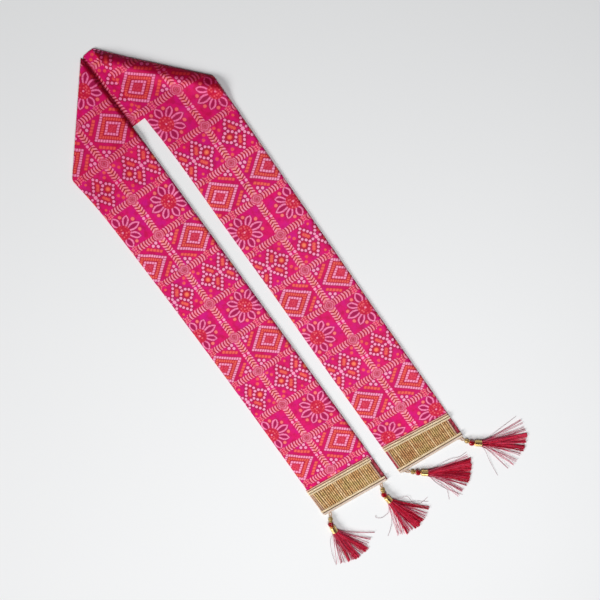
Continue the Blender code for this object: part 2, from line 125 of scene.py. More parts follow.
def ink(red, green, blue):
    """A dye colour given as a screen colour from 0 to 255, made linear for a shader."""
    def linear(value):
        value /= 255
        return value / 12.92 if value <= 0.04045 else ((value + 0.055) / 1.055) ** 2.4
    return linear(red), linear(green), linear(blue), 1.0


class Wire:
    """A socket in a material, so that shader maths reads as arithmetic."""

    def __init__(self, tree, socket):
        self.tree = tree
        self.socket = socket

    def node(self, kind, settings, inputs, output=0):
        """A new node in the same material: its settings first, then its sockets' values."""
        made = self.tree.nodes.new(kind)
        for key, value in settings.items():
            setattr(made, key, value)
        for key, value in inputs.items():
            if isinstance(value, Wire):
                self.tree.links.new(value.socket, made.inputs[key])
            else:
                made.inputs[key].default_value = value
        return Wire(self.tree, made.outputs[output])

    def math(self, operation, *others):
        return self.node("ShaderNodeMath", {"operation": operation},
                         dict(enumerate((self, *others))))

    def __add__(self, other):
        return self.math("ADD", other)

    __radd__ = __add__

    def __sub__(self, other):
        return self.math("SUBTRACT", other)

    def __rsub__(self, other):
        return (self * -1.0) + other

    def __mul__(self, other):
        return self.math("MULTIPLY", other)

    __rmul__ = __mul__

    def __truediv__(self, other):
        return self.math("DIVIDE", other)

    def __abs__(self):
        return self.math("ABSOLUTE")

    def least(self, other):
        return self.math("MINIMUM", other)

    def most(self, other):
        return self.math("MAXIMUM", other)

    def sine(self):
        return self.math("SINE")

    def below(self, edge, soft):
        """1 where the value is under the edge and 0 over it, with a soft change between."""
        return self.node("ShaderNodeMapRange", {"interpolation_type": "SMOOTHSTEP"},
                         {"Value": self, "From Min": edge - soft, "From Max": edge + soft,
                          "To Min": 1.0, "To Max": 0.0})

    def above(self, edge, soft):
        return self.node("ShaderNodeMapRange", {"interpolation_type": "SMOOTHSTEP"},
                         {"Value": self, "From Min": edge - soft, "From Max": edge + soft,
                          "To Min": 0.0, "To Max": 1.0})

    def beside(self, pitch):
        """Distance from the nearest of evenly spaced lines, half a pitch off each multiple."""
        return abs((self / pitch).math("FRACT") - 0.5) * pitch

    def blend(self, low, high):
        """A colour from low to high, with this value as the factor."""
        return self.node("ShaderNodeMix", {"data_type": "RGBA", "clamp_factor": True},
                         {0: self, 6: low, 7: high}, output=2)

    def over(self, colour, paint):
        """The colour with paint laid on it where this mask is 1."""
        return self.blend(colour, paint)

    def dyed(self, shade_colour, amount):
        """This colour, multiplied by the given colour where the amount is 1, to paint shade."""
        return self.node("ShaderNodeMix", {"data_type": "RGBA", "blend_type": "MULTIPLY",
                                           "clamp_factor": True},
                         {0: amount, 6: self, 7: shade_colour}, output=2)

    # Vectors
    def shifted(self, other):
        return self.node("ShaderNodeVectorMath", {"operation": "ADD"}, {0: self, 1: other})

    def scaled(self, factor):
        return self.node("ShaderNodeVectorMath", {"operation": "SCALE"},
                         {0: self, "Scale": factor})

    def times(self, factors):
        return self.node("ShaderNodeVectorMath", {"operation": "MULTIPLY"}, {0: self, 1: factors})

    def distance(self, point):
        return self.node("ShaderNodeVectorMath", {"operation": "DISTANCE"},
                         {0: self, 1: (point[0], point[1], 0.0)}, output="Value")

    def nearest(self, points):
        """Distance from the nearest of several points."""
        found = self.distance(points[0])
        for point in points[1:]:
            found = found.least(self.distance(point))
        return found

    def part(self, axis):
        return self.node("ShaderNodeSeparateXYZ", {}, {0: self}, output=axis)

    def noise(self, scale, detail=2.0, roughness=0.5, output=0):
        """output 0 is a value from 0 to 1, and 1 a colour that serves as three values."""
        return self.node("ShaderNodeTexNoise", {},
                         {"Vector": self, "Scale": scale, "Detail": detail,
                          "Roughness": roughness}, output)

    def wander(self, scale, detail, reach):
        """A vector that drifts either way, by about half the reach."""
        return self.noise(scale, detail, output=1).shifted((-0.5, -0.5, -0.5)).scaled(reach)

    # Readings of the surface
    def attribute(self, name):
        return self.node("ShaderNodeAttribute", {"attribute_name": name}, {}, output="Fac")

    def in_millimetres(self):
        """The piece's own coordinates, in millimetres of the frame."""
        return self.node("ShaderNodeTexCoord", {}, {}, output="Object").scaled(1.0 / MM)


def new_material(name, roughness, metallic=0.0, **fixed):
    """A material and a Wire in it. The fixed values go on the shader's own sockets."""
    made = bpy.data.materials.new(name)
    made.use_nodes = True
    shader = made.node_tree.nodes["Principled BSDF"]
    shader.inputs["Roughness"].default_value = roughness
    shader.inputs["Metallic"].default_value = metallic
    for key, value in fixed.items():
        shader.inputs[key.replace("_", " ").title().replace("Ior", "IOR")].default_value = value
    return made, shader, Wire(made.node_tree, shader.outputs[0])


def connect(material, shader, **wires):
    for key, wire in wires.items():
        socket = shader.inputs[key.replace("_", " ").title()]
        material.node_tree.links.new(wire.socket, socket)


def bumped(wire, height, strength, distance):
    return wire.node("ShaderNodeBump", {}, {"Height": height, "Strength": strength,
                                            "Distance": distance})


PALE = ink(255, 160, 198)
PALE_TAN = ink(255, 134, 136)
TAN = ink(236, 146, 104)
CORAL = ink(244, 102, 88)
GOLD_SPOT = ink(250, 142, 96)
PINK = ink(226, 14, 106)
MAGENTA = ink(210, 14, 126)
CRIMSON = ink(190, 6, 68)
SCARLET = ink(190, 28, 56)
DEEP = ink(126, 2, 44)
BRAID_SHADE = ink(172, 22, 56)
ROSETTE = ink(208, 68, 96)
PETAL_LINE = ink(246, 110, 164)
PETAL_FILL = ink(172, 18, 82)
PETAL_SPOT = ink(250, 126, 118)
EYE_RED = ink(208, 34, 66)
EYE_SEED = ink(246, 108, 116)
LOZENGE_EYE = ink(202, 34, 74)
LOZENGE_SEED = ink(236, 84, 104)
# A mottled dark rose, painted as shade, for the plain cloth at the lace's end
HEM_SHADE_DARK = ink(138, 38, 52)
HEM_SHADE_LIGHT = ink(190, 74, 90)
# What is left of each primary colour where shade is painted: by the fold and the groove, and
# towards the neck
FOLD_SHADE = (0.74, 0.24, 0.43, 1.0)
NECK_SHADE = (0.9, 0.66, 0.78, 1.0)


# In the functions below a motif is laid on the colour by masks. below() and above() take a size in
# millimetres and how soft its edge is, and a last factor says how strongly the ink covers.
Cell = namedtuple("Cell", "cut across along spot is_lozenge is_flower is_butterfly ring outline")


def print_cell(wire):
    """Where a point of the cut lies in its cell, measured from the cell's middle.

    ring is the size of the lozenge through the point, as a share of the outer one's, and outline
    is its distance from the butterfly's dots.
    """
    cut = wire.node("ShaderNodeUVMap", {"uv_map": "cut"}, {}).scaled(CUT_UNIT)
    place = cut.shifted(cut.wander(0.05, 1.0, SWAY)).shifted(cut.wander(0.62, 2.0, RAGGED))
    cells_across = place.part(0) / CELL_ACROSS
    cells_along = place.part(1) / CELL_ALONG
    across = abs(cells_across.math("FRACT") - 0.5) * CELL_ACROSS
    along = abs(cells_along.math("FRACT") - 0.5) * CELL_ALONG
    spot = wire.node("ShaderNodeCombineXYZ", {}, {0: across, 1: along})
    kind = cells_along.math("FLOOR").math("FLOORED_MODULO", 3.0)
    is_lozenge = kind.below(0.5, 0.01)
    is_butterfly = kind.above(1.5, 0.01)
    is_flower = 1.0 - is_lozenge - is_butterfly
    ring = across / LOZENGE_WIDE + along / LOZENGE_LONG
    outline = spot.nearest(BUTTERFLY_OUTLINE)
    return Cell(cut, across, along, spot, is_lozenge, is_flower, is_butterfly, ring, outline)


def dyed_ground(cell):
    """Pink, drifting to magenta where it is open and to crimson by the motifs."""
    drift = cell.cut.noise(0.045, detail=3.0, roughness=0.6)
    patch = cell.cut.noise(0.12, detail=2.0)
    colour = drift.above(0.54, 0.14).blend(PINK, MAGENTA)
    colour = (patch.below(0.44, 0.12) * 0.6).over(colour, CRIMSON)
    colour = (cell.is_lozenge * cell.ring.below(1.62, 0.1) * 0.35).over(colour, CRIMSON)
    return (cell.is_butterfly * cell.outline.below(4.0, 2.2) * 0.4).over(colour, CRIMSON)


def with_braids(cell, colour):
    """The trellis: chevrons along the strip and bowed arcs across it, with dots where it parts."""
    braid = HALF_ACROSS - cell.across
    cross = HALF_ALONG - cell.along
    past_gap = cell.along.above(BRAID_GAP, 0.3)
    on_braid = braid.below(BRAID_HALF, 0.5) * past_gap
    on_cross = cross.below(CROSS_HALF, 0.5) * cell.across.above(CROSS_GAP, 0.4)
    chevron = (cell.along - braid * 0.5).beside(CHEVRON_PITCH)
    arc = (cell.across - cross * cross * 0.06).beside(ARC_PITCH)
    colour = (on_braid * (braid.below(3.6, 2.2) * 0.5 + 0.5)).over(colour, BRAID_SHADE)
    colour = (on_cross * 0.85).over(colour, BRAID_SHADE)
    worn = cell.cut.noise(0.3, detail=2.0)
    stroke_ink = worn.above(0.5, 0.14).blend(PALE_TAN, PALE)
    stroke_ink = (braid.below(1.6, 1.3) * past_gap * 0.6).over(stroke_ink, TAN)
    colour = (on_braid * chevron.below(1.3, 0.42)).over(colour, stroke_ink)
    colour = (on_cross * arc.below(1.16, 0.42) * 0.9).over(colour, stroke_ink)
    colour = cell.spot.distance((HALF_ACROSS - 3.5, 0.0)).below(2.15, 0.45).over(colour, PALE)
    ladder_from = cell.is_butterfly * 3.4 + 24.8
    rung = colour.node("ShaderNodeCombineXYZ", {},
                       {0: cell.across, 1: cell.along.beside(RUNG_PITCH)})
    ladder = rung.distance((1.7, 0.0)).below(1.2, 0.4)
    ladder = ladder * (cell.along - ladder_from).above(0.0, 0.4)
    return (ladder * 0.85).over(colour, PALE_TAN)


def with_rosettes(cell, colour):
    """Where the braids cross: a rounded lozenge of coiled strokes."""
    corner = (HALF_ACROSS - cell.across) + (HALF_ALONG - cell.along)
    knot = cell.spot.distance((HALF_ACROSS, HALF_ALONG)) * 0.5 + corner * 0.43
    curl = (knot + cell.cut.noise(0.3) * 3.4).beside(2.9)
    colour = knot.below(KNOT_SIZE, 0.5).over(colour, ROSETTE)
    colour = (knot.below(KNOT_SIZE - 0.1, 0.5) * curl.below(0.75, 0.35) * 0.5).over(colour, PALE)
    return (knot.below(3.6, 1.6) * 0.45).over(colour, BRAID_SHADE)


def with_lozenges(cell, colour):
    """A dotted pale ring, an orange ring and a small pale ring, one in another, with an eye."""
    shown = cell.is_lozenge
    ring = cell.ring
    side = (cell.across / LOZENGE_WIDE - cell.along / LOZENGE_LONG) * LOZENGE_SIDE
    dots = side.beside(3.8).above(0.75, 0.45) * 0.64 + 0.36
    grains = side.beside(3.42).above(0.74, 0.5) * 0.8 + 0.2
    grains = grains * (cell.cut.noise(0.8, detail=1.0).above(0.4, 0.12) * 0.4 + 0.6)
    small_dots = side.beside(4.08).above(0.8, 0.45) * 0.64 + 0.36
    from_orange = abs(ring - ORANGE_RING)
    colour = (shown * ring.below(1.13, 0.03) * 0.7).over(colour, DEEP)
    colour = (shown * ring.below(0.92, 0.02) * 0.75).over(colour, CRIMSON)
    colour = (shown * abs(ring - 1.0).below(0.1, 0.03) * dots).over(colour, PALE)
    colour = (shown * from_orange.below(0.15, 0.03)).over(colour, SCARLET)
    colour = (shown * from_orange.below(0.1, 0.04) * grains).over(colour, CORAL)
    colour = (shown * abs(ring - INNER_RING).below(0.088, 0.03) * small_dots).over(colour, PALE)
    colour = (shown * ring.below(0.31, 0.04)).over(colour, LOZENGE_EYE)
    blots = cell.cut.noise(0.42, detail=2.0).above(0.5, 0.12)
    colour = (shown * ring.below(0.28, 0.05) * blots * 0.6).over(colour, LOZENGE_SEED)

    # Beside it, a row of dashes and three dots in each corner of the cell
    from_dashes = abs(ring - CORNER_DASHES)
    along_dashes = side - 1.5
    dash = from_dashes.below(0.15, 0.03) * abs(along_dashes).below(12.6, 0.5)
    colour = (shown * dash * 0.7).over(colour, SCARLET)
    dash = from_dashes.below(0.11, 0.04) * abs(along_dashes).below(12.2, 0.5)
    dash = dash * (along_dashes.beside(4.9).above(0.75, 0.6) * 0.78 + 0.22)
    colour = (shown * dash).over(colour, CORAL)
    trio = cell.spot.nearest(CORNER_TRIO)
    colour = (shown * trio.below(3.2, 0.5) * 0.7).over(colour, DEEP)
    return (shown * trio.below(2.3, 0.5)).over(colour, PALE)


def petal(size, out, beside):
    """(inside, distance from the outline) of a petal that points out from the flower's eye."""
    past = (out - size.middle).most(0.0) / size.tip_reach
    before = (size.middle - out).most(0.0) / size.foot_reach
    shape = beside / size.half_width + past * past + before * before
    return shape.below(1.0, 0.06), abs(shape - 1.0) * (size.half_width * 0.82)


def with_flowers(cell, colour):
    """Eight outlined petals round a dotted eye, with a spot between each two."""
    shown = cell.is_flower
    lean = math.radians(PETAL_LEAN)
    out = cell.across * math.cos(lean) + cell.along * math.sin(lean)
    off = abs(cell.along * math.cos(lean) - cell.across * math.sin(lean))
    fill_top, edge_top = petal(PETAL_ALONG, cell.along, cell.across)
    fill_side, edge_side = petal(PETAL_ACROSS, cell.across, cell.along)
    fill_lean, edge_lean = petal(PETAL_LEANING, out, off)
    fill = fill_top.most(fill_side).most(fill_lean)
    edge = edge_top.least(edge_side).least(edge_lean)
    eye = cell.spot.distance((0.0, 0.0))
    on_petals = shown * eye.above(FLOWER_EYE - 0.4, 0.4) * eye.below(FLOWER_REACH, 0.4)
    broken = cell.cut.noise(0.42, detail=1.0).above(0.43, 0.05) * 0.5 + 0.5
    colour = (shown * eye.below(24.0, 3.0) * 0.55).over(colour, CRIMSON)
    colour = (on_petals * edge.below(1.9, 0.4) * 0.65).over(colour, DEEP)
    colour = (on_petals * fill).over(colour, PETAL_FILL)
    colour = (on_petals * edge.below(1.16, 0.5) * broken).over(colour, PETAL_LINE)
    colour = (on_petals * edge.below(0.5, 0.4) * broken * 0.7).over(colour, PALE)
    berry = cell.spot.nearest(FLOWER_SPOTS)
    colour = (shown * berry.below(3.3, 0.6) * 0.6).over(colour, SCARLET)
    colour = (shown * berry.below(2.4, 0.7)).over(colour, PETAL_SPOT)

    # The eye: red, with seeds and a pale middle
    colour = (shown * eye.below(FLOWER_EYE, 0.6)).over(colour, EYE_RED)
    on_eye = shown * eye.below(FLOWER_EYE - 0.6, 0.5)
    seeds = colour.node("ShaderNodeTexVoronoi", {"feature": "F1"},
                        {"Vector": cell.cut, "Scale": 0.27, "Randomness": 0.5})
    pits = cell.cut.noise(0.26, detail=1.0).below(0.46, 0.06)
    colour = (on_eye * pits * 0.6).over(colour, CRIMSON)
    colour = (on_eye * seeds.below(0.36, 0.12) * 0.8).over(colour, EYE_SEED)
    colour = (shown * abs(eye - 3.0).below(0.7, 0.5) * 0.6).over(colour, CRIMSON)
    return (shown * eye.below(1.4, 0.5) * 0.8).over(colour, PALE)


def with_butterflies(cell, colour):
    """Four leaves and two side lozenges, outlined in dots."""
    shown = cell.is_butterfly
    leaf = cell.spot.nearest(BUTTERFLY_LEAF)
    wing = cell.spot.distance(BUTTERFLY_WING)
    blotch = cell.cut.noise(0.5, detail=1.0).above(0.42, 0.1) * 0.5 + 0.5
    spots = cell.spot.nearest(BUTTERFLY_SPOTS).below(2.3, 0.9)
    colour = (shown * cell.outline.below(3.0, 0.6) * 0.7).over(colour, DEEP)
    colour = (shown * leaf.below(4.4, 1.2) * 0.7).over(colour, SCARLET)
    colour = (shown * wing.below(5.8, 0.9) * 0.95).over(colour, SCARLET)
    colour = (shown * wing.below(3.3, 0.8)).over(colour, CORAL)
    colour = (shown * wing.below(1.8, 0.9)).over(colour, GOLD_SPOT)
    colour = (shown * spots * blotch).over(colour, CORAL)
    colour = (shown * cell.spot.distance(BUTTERFLY_HEAD).below(1.8, 0.5)).over(colour, CORAL)
    colour = (shown * cell.outline.below(2.0, 0.5)).over(colour, PALE)
    return (shown * cell.spot.distance((0.0, 0.0)).below(2.7, 0.5)).over(colour, PALE)


def printed_silk():
    """The cloth: its print, then its uneven tone and its painted shade, and the weave as a fine
    bump.
    """
    made, shader, wire = new_material("printed_silk", roughness=0.5, specular_ior_level=0.1,
                                      sheen_weight=0.03, sheen_roughness=0.4,
                                      sheen_tint=(1.0, 0.45, 0.65, 1.0))
    cell = print_cell(wire)
    colour = dyed_ground(cell)
    for motif in (with_braids, with_rosettes, with_lozenges, with_flowers, with_butterflies):
        colour = motif(cell, colour)

    # Under the lace the cloth is plain, and shows only in a narrow strip at its end, painted a
    # mottled dark rose as shade
    cut = cell.cut
    lengthwise = wire.node("ShaderNodeTexCoord", {}, {}, output="Object").part(1)
    hem = lengthwise.below(SHIFT.y + HEM_BORDER * MM, 1.2 * MM)
    shaded_hem = cut.noise(0.25, detail=3.0).above(0.5, 0.12).blend(HEM_SHADE_DARK, HEM_SHADE_LIGHT)
    colour = hem.over(colour, shaded_hem)

    # The weave is a warp and a weft that cross, with uneven threads and a shot look
    warp = (cut.part(0) * (2 * math.pi / THREAD_PITCH)).sine()
    weft = (cut.part(1) * (2 * math.pi / THREAD_PITCH)).sine()
    cloth = warp * weft
    slub = cut.times((0.35, 2.2, 1.0)).noise(1.0, detail=2.0)
    shade = cut.noise(0.022, detail=3.0, roughness=0.65)
    mottle = cut.noise(0.55, detail=2.0, roughness=0.6)
    # Painted shade: the colour is darker along the edges and close to the fold
    pressed = wire.attribute("pressed")
    tone = cloth * 0.055 + slub * 0.26 + mottle * 0.34 + shade * 0.34 - 0.47 - pressed * 0.26
    colour = colour.node("ShaderNodeHueSaturation", {}, {"Color": colour, "Value": tone + 1.0})

    # Painted shade: darker towards the neck, and darkest by the right arm's fold and in the groove
    # where the left arm lies over the neck stretch
    colour = colour.dyed(NECK_SHADE, lengthwise.above(SHIFT.y + NECK_SHADE_FROM * MM, 45 * MM))
    # The attribute folded carries painted shade: up to 1 by the fold, and 2 in the groove,
    # darkened twice
    folded = wire.attribute("folded")
    colour = colour.dyed(FOLD_SHADE, folded.least(1.0))
    colour = colour.dyed(FOLD_SHADE, (folded - 1.0).most(0.0))
    connect(made, shader, base_color=colour, roughness=slub * 0.16 + 0.44,
            normal=bumped(wire, cloth + slub * 1.2, 0.5, WEAVE_DEPTH))
    return made


PRINTED_SILK = printed_silk()


# ---------------------------------------------------------------------------------------------
# The two arms
# Each arm is a flattened tube of the printed silk, seamed along its outer edge. Its hem end is
# closed under the lace, it climbs onto the neck stretch, and there it is folded under on a slant.
# ---------------------------------------------------------------------------------------------

STRIP_THICK = 2.4
WALL = 0.3                     # one layer of silk with its lining of air
STEP_UP = 2.7                  # how high an arm rides over the neck stretch
CLIMB_START = 598.0
CLIMB_LENGTH = 20.0
NECK_BLEND = 45.0              # over this length it comes to lie fully on the neck stretch
EDGE_ROUND = 5.0
EDGE_SQUARENESS = 2.7          # a round edge would be 2
HEM_ROUND = 2.2
HEM_ANGLES = (90, 68, 46, 24, 0)                  # rows round the closed hem
ROW_STEP = 2.4
SLANT_START = 300.0            # from here on the rows of faces lean more and more to the fold
SLANT_SPREAD = 1.15            # and lie this much further apart
FOLD_SHARES = (0.84, 0.7, 0.56, 0.43, 0.31, 0.2, 0.1, 0.0)
FOLD_BLUNTNESS = 5
TUCK_ANGLES = (24, 48, 70, 90)                    # rows round the turned-under end
FOLD_TUCK = 3.0                # how far the turned-under end reaches back
FOLD_ROWS = len(FOLD_SHARES) + len(TUCK_ANGLES) + 1
TOP_COLUMNS = 44

# The cloth's top is nowhere flat
LOFT = 1.3                     # the air in the tube holds it up this much
LOFT_START = 46.0              # from the lace's upper edge on
LOFT_LENGTH = 30.0
RIPPLE_START = 55.0
RIPPLE_LENGTH = 60.0
RIPPLES = [(0.16, 31.0, 47.0, 0.0), (0.10, 13.7, -29.0, 1.1)]     # height, along, across, phase
RIPPLE_RISE = 0.12
CREASE_BOW = 0.0016            # a crease bows by this times its length squared
LOWEST_RELIEF = -1.3
FOLD_BULGE_AT = 16.2           # the folded edge is rolled: it stands highest this far in
FOLD_BULGE_WIDTH = 9.0
ROLL_AT = 5.6                  # one edge of each arm is rolled too, this far in
ROLL_WIDTH = 4.6
DROOP_REACH = 4.3              # the left arm's inner edge slopes down over the neck from here

# Where the colour is painted darker, as shade
EDGE_SHADE_REACH = 3.4            # painted shade along the edges, over this width
FOLD_SHADE_REACH = 18.0          # by the right fold, from this far in
FOLD_SHADE_FADE = 6.0
GROOVE_REACH = 5.4             # beside the left arm's inner edge, where it lies over the neck
GROOVE_FADE = 3.0

Section = namedtuple("Section", "y outer inner")
Crease = namedtuple("Crease", "x y heading length width height")

# hem_outer, hem_inner: y of the hem at each edge
# fold_outer, fold_inner: the ends of the slanting fold, as (x, y)
# fold_round: how far in from the fold the cloth starts to turn
# corner_x, corner_drop: the fold's line rounds off from corner_x on, and has dropped this far at
#   its inner end
# fold_bulge: how high the cloth is rolled along the fold
# fold_dye, dark_edges: how strongly shade is painted by the fold, and along which edges
# shaded, roll, droop: which edge is rolled, how high on the surface and over the neck, and how
#   far it slopes down there
# braid: x of the lengthwise braid at some heights
# rows: heights at which cross braids run, with their numbers
# leans: how much the cross braids slope at some heights
# stretch, turned: the print's width over the cloth's, and whether it runs the other way round
Arm = namedtuple("Arm", "name sections hem_outer hem_inner fold_outer fold_inner fold_round "
                        "corner_x corner_drop fold_bulge fold_dye dark_edges shaded roll droop "
                        "braid rows leans stretch turned creases")

LEFT_SECTIONS = [
    Section(-10.0, -122.8, -10.4),
    Section(130.0, -120.6, -10.4),
    Section(290.0, -119.4, -11.0),
    Section(450.0, -120.8, -11.6),
    Section(560.0, -123.4, -12.0),
    Section(630.0, -128.7, -12.4),
    Section(760.0, -133.0, -14.6),
]
RIGHT_SECTIONS = [
    Section(-10.0, 120.8, 10.6),
    Section(100.0, 120.4, 10.6),
    Section(205.0, 120.0, 10.5),
    Section(310.0, 120.4, 11.2),
    Section(450.0, 121.0, 11.0),
    Section(560.0, 121.8, 11.2),
    Section(640.0, 121.8, 8.8),
    Section(690.0, 121.9, 6.8),
    Section(730.0, 122.0, 4.8),
    Section(760.0, 122.0, 3.6),
]

# Soft creases: middle, heading in degrees from +x, length, width, and height or depth
LEFT_CREASES = [
    Crease(-40.0, 547.0, 1.0, 66.0, 4.2, -0.95),
    Crease(-46.0, 553.5, 2.0, 70.0, 5.0, 0.6),
    Crease(-98.0, 531.0, -12.0, 38.0, 6.0, -0.45),
    Crease(-36.0, 607.0, 20.0, 34.0, 6.5, -0.6),
    Crease(-88.0, 596.0, 8.0, 60.0, 7.0, 0.55),
    Crease(-70.0, 468.0, 74.0, 90.0, 9.0, 0.4),
    Crease(-30.0, 430.0, -8.0, 40.0, 6.0, -0.4),
    Crease(-102.0, 402.0, 6.0, 34.0, 5.0, -0.4),
    Crease(-58.0, 338.0, 84.0, 110.0, 10.0, 0.45),
    Crease(-26.0, 296.0, -20.0, 36.0, 5.5, -0.45),
    Crease(-92.0, 262.0, 70.0, 80.0, 9.0, -0.4),
    Crease(-44.0, 205.0, 96.0, 84.0, 9.0, 0.4),
    Crease(-99.0, 150.0, -15.0, 30.0, 6.0, -0.35),
    Crease(-30.0, 118.0, 12.0, 36.0, 6.0, -0.35),
    Crease(-86.0, 660.0, 46.0, 70.0, 7.0, 0.45),
    Crease(-48.0, 690.0, 52.0, 60.0, 6.0, -0.5),
]
RIGHT_CREASES = [
    Crease(103.0, 399.0, 0.0, 38.0, 4.0, -0.8),
    Crease(100.0, 405.0, -3.0, 44.0, 5.0, 0.45),
    Crease(36.0, 450.0, -3.0, 46.0, 4.5, -0.7),
    Crease(98.0, 449.0, 3.0, 40.0, 4.5, -0.6),
    Crease(62.0, 573.0, 2.0, 92.0, 5.0, -0.7),
    Crease(58.0, 580.0, 4.0, 90.0, 6.0, 0.5),
    Crease(78.0, 262.0, 55.0, 34.0, 9.0, -0.6),
    Crease(34.0, 330.0, 80.0, 76.0, 9.0, 0.4),
    Crease(92.0, 352.0, 100.0, 60.0, 8.0, -0.4),
    Crease(48.0, 512.0, 70.0, 70.0, 9.0, 0.45),
    Crease(104.0, 520.0, -10.0, 30.0, 6.0, -0.4),
    Crease(30.0, 214.0, 14.0, 34.0, 6.0, -0.45),
    Crease(96.0, 170.0, 82.0, 70.0, 9.0, 0.4),
    Crease(44.0, 110.0, -10.0, 40.0, 6.0, -0.35),
    Crease(100.0, 92.0, 10.0, 30.0, 6.0, -0.35),
    Crease(70.0, 655.0, -40.0, 84.0, 8.0, 0.6),
    Crease(44.0, 668.0, -46.0, 60.0, 7.0, -0.5),
]

LEFT_ARM = Arm("left", LEFT_SECTIONS, 1.5, -3.5, (-128.7, 624.5), (-14.6, 752.0),
               fold_round=6.0, corner_x=-30.0, corner_drop=0.0, fold_bulge=0.5, fold_dye=0.0,
               dark_edges=("outer", "inner"), shaded="inner", roll=(0.3, 0.0), droop=2.3,
               braid=[(0, -72.5), (150, -73.3), (300, -72.4), (450, -73.0), (560, -74.0),
                      (617, -75.9), (690, -79.4), (760, -81.5)],
               rows=[(-4.6, -1), (57.8, 0), (245.1, 3), (367.5, 5), (490.9, 7), (616.5, 9),
                     (681.3, 10), (745.0, 11)],
               leans=[(0, -0.03), (120, -0.028), (330, 0.0), (480, -0.013), (620, 0.0),
                      (760, 0.0)],
               stretch=1.015, turned=False, creases=LEFT_CREASES)
RIGHT_ARM = Arm("right", RIGHT_SECTIONS, -8.6, -5.6, (121.8, 626.5), (11.9, 750.5),
                fold_round=12.0, corner_x=20.0, corner_drop=1.95, fold_bulge=5.2, fold_dye=1.0,
                dark_edges=("inner",), shaded="outer", roll=(0.0, 0.6), droop=0.0,
                braid=[(0, 68.9), (225, 69.2), (385, 70.3), (411, 71.6), (504, 72.1),
                       (566, 71.6), (628, 70.1), (659, 68.3), (690, 66.9), (760, 66.0)],
                rows=[(18.8, -2), (80.8, -1), (143.9, 0), (268.6, 2), (392.5, 4), (453.0, 5),
                      (515.1, 6), (640.5, 8), (704.0, 9), (768.0, 10)],
                leans=[(0, -0.03), (120, -0.028), (330, -0.01), (390, -0.01), (440, -0.036),
                       (600, -0.036), (660, -0.05), (760, -0.05)],
                stretch=1.0, turned=True, creases=RIGHT_CREASES)
ARMS = [LEFT_ARM, RIGHT_ARM]


def smooth(t):
    t = min(max(t, 0.0), 1.0)
    return t * t * (3.0 - 2.0 * t)


def mix(a, b, t):
    return a + (b - a) * t


def along_table(rows, value):
    """A straight reading between the rows (place, value) of a short table."""
    for (low, first), (high, last) in zip(rows, rows[1:]):
        if value <= high or (high, last) == rows[-1]:
            return mix(first, last, (value - low) / (high - low))


def edge_x(arm, column, y):
    """The x of an arm's edge at y, on a smooth curve through the table's rows."""
    rows = arm.sections
    y = min(max(y, rows[0].y), rows[-1].y)
    index = 0
    while index < len(rows) - 2 and y > rows[index + 1].y:
        index += 1
    before = rows[max(index - 1, 0)]
    low = rows[index]
    high = rows[index + 1]
    after = rows[min(index + 2, len(rows) - 1)]
    span = high.y - low.y
    slope_low = (getattr(high, column) - getattr(before, column)) / (high.y - before.y) * span
    slope_high = (getattr(after, column) - getattr(low, column)) / (after.y - low.y) * span
    t = (y - low.y) / span
    return (getattr(low, column) * (2 * t ** 3 - 3 * t ** 2 + 1)
            + getattr(high, column) * (3 * t ** 2 - 2 * t ** 3)
            + slope_low * (t ** 3 - 2 * t ** 2 + t) + slope_high * (t ** 3 - t ** 2))


def fold_slope(arm):
    return (arm.fold_inner[1] - arm.fold_outer[1]) / (arm.fold_inner[0] - arm.fold_outer[0])


def fold_line_y(arm, x, inset):
    """The y of a straight line that lies inset short of the fold, at x."""
    slope = fold_slope(arm)
    return (arm.fold_outer[1] + slope * (x - arm.fold_outer[0])
            - inset * math.sqrt(1 + slope * slope))


def fold_y(arm, x, inset):
    """The same for the fold itself, which rounds off at its inner corner."""
    past = max((x - arm.corner_x) / (arm.fold_inner[0] - arm.corner_x), 0.0)
    return fold_line_y(arm, x, inset) - arm.corner_drop * past * past


def beside_fold(arm, column, inset):
    """The y where the line that lies inset short of the fold meets one of the arm's edges."""
    y = fold_y(arm, edge_x(arm, column, arm.fold_outer[1]), inset)
    for _ in range(6):
        y = fold_y(arm, edge_x(arm, column, y), inset)
    return y


def lift(y):
    return STEP_UP * smooth((y - CLIMB_START) / CLIMB_LENGTH)


def over_neck(y):
    """0 where an arm lies on the surface, 1 where it lies on the neck stretch."""
    return smooth((y - CLIMB_START) / NECK_BLEND)


def inset_from_fold(arm, x, y):
    return (fold_y(arm, x, 0.0) - y) / math.sqrt(1 + fold_slope(arm) ** 2)


def bell(distance, width):
    return math.exp(-(distance / width) ** 2)


def crease_height(crease, x, y):
    """How far a crease moves the cloth at a place: round across it, fading to its ends."""
    turn = math.radians(crease.heading)
    dx = x - crease.x
    dy = y - crease.y
    along = dx * math.cos(turn) + dy * math.sin(turn)
    if abs(along) > crease.length * 0.75:
        return 0.0
    beside = dy * math.cos(turn) - dx * math.sin(turn) - CREASE_BOW * along * along
    if abs(beside) > crease.width * 3:
        return 0.0
    fade = math.cos(along / crease.length * math.pi / 1.5) ** 2
    return crease.height * fade * bell(beside, crease.width)


PUCKER_FROM = 44.0             # small puckers run up from the lace that is sewn over the cloth
PUCKER_REACH = 26.0
PUCKER_WIDTH = 2.3
PUCKER_PITCH = 9.3
PUCKER_DEPTH = 0.34
pucker_rng = random.Random(5)
PUCKERS = [(step * PUCKER_PITCH + pucker_rng.uniform(-2.5, 2.5), pucker_rng.uniform(0.35, 1.0))
           for step in range(-13, 14)]


def pucker_depth(x, y):
    """How deep the puckers above the lace are at a place."""
    if y >= PUCKER_FROM + PUCKER_REACH:
        return 0.0
    reach = smooth((PUCKER_FROM + PUCKER_REACH - y) / PUCKER_REACH)
    return sum(PUCKER_DEPTH * share * reach * bell(x - middle, PUCKER_WIDTH)
               for middle, share in PUCKERS if abs(x - middle) < 3 * PUCKER_WIDTH)


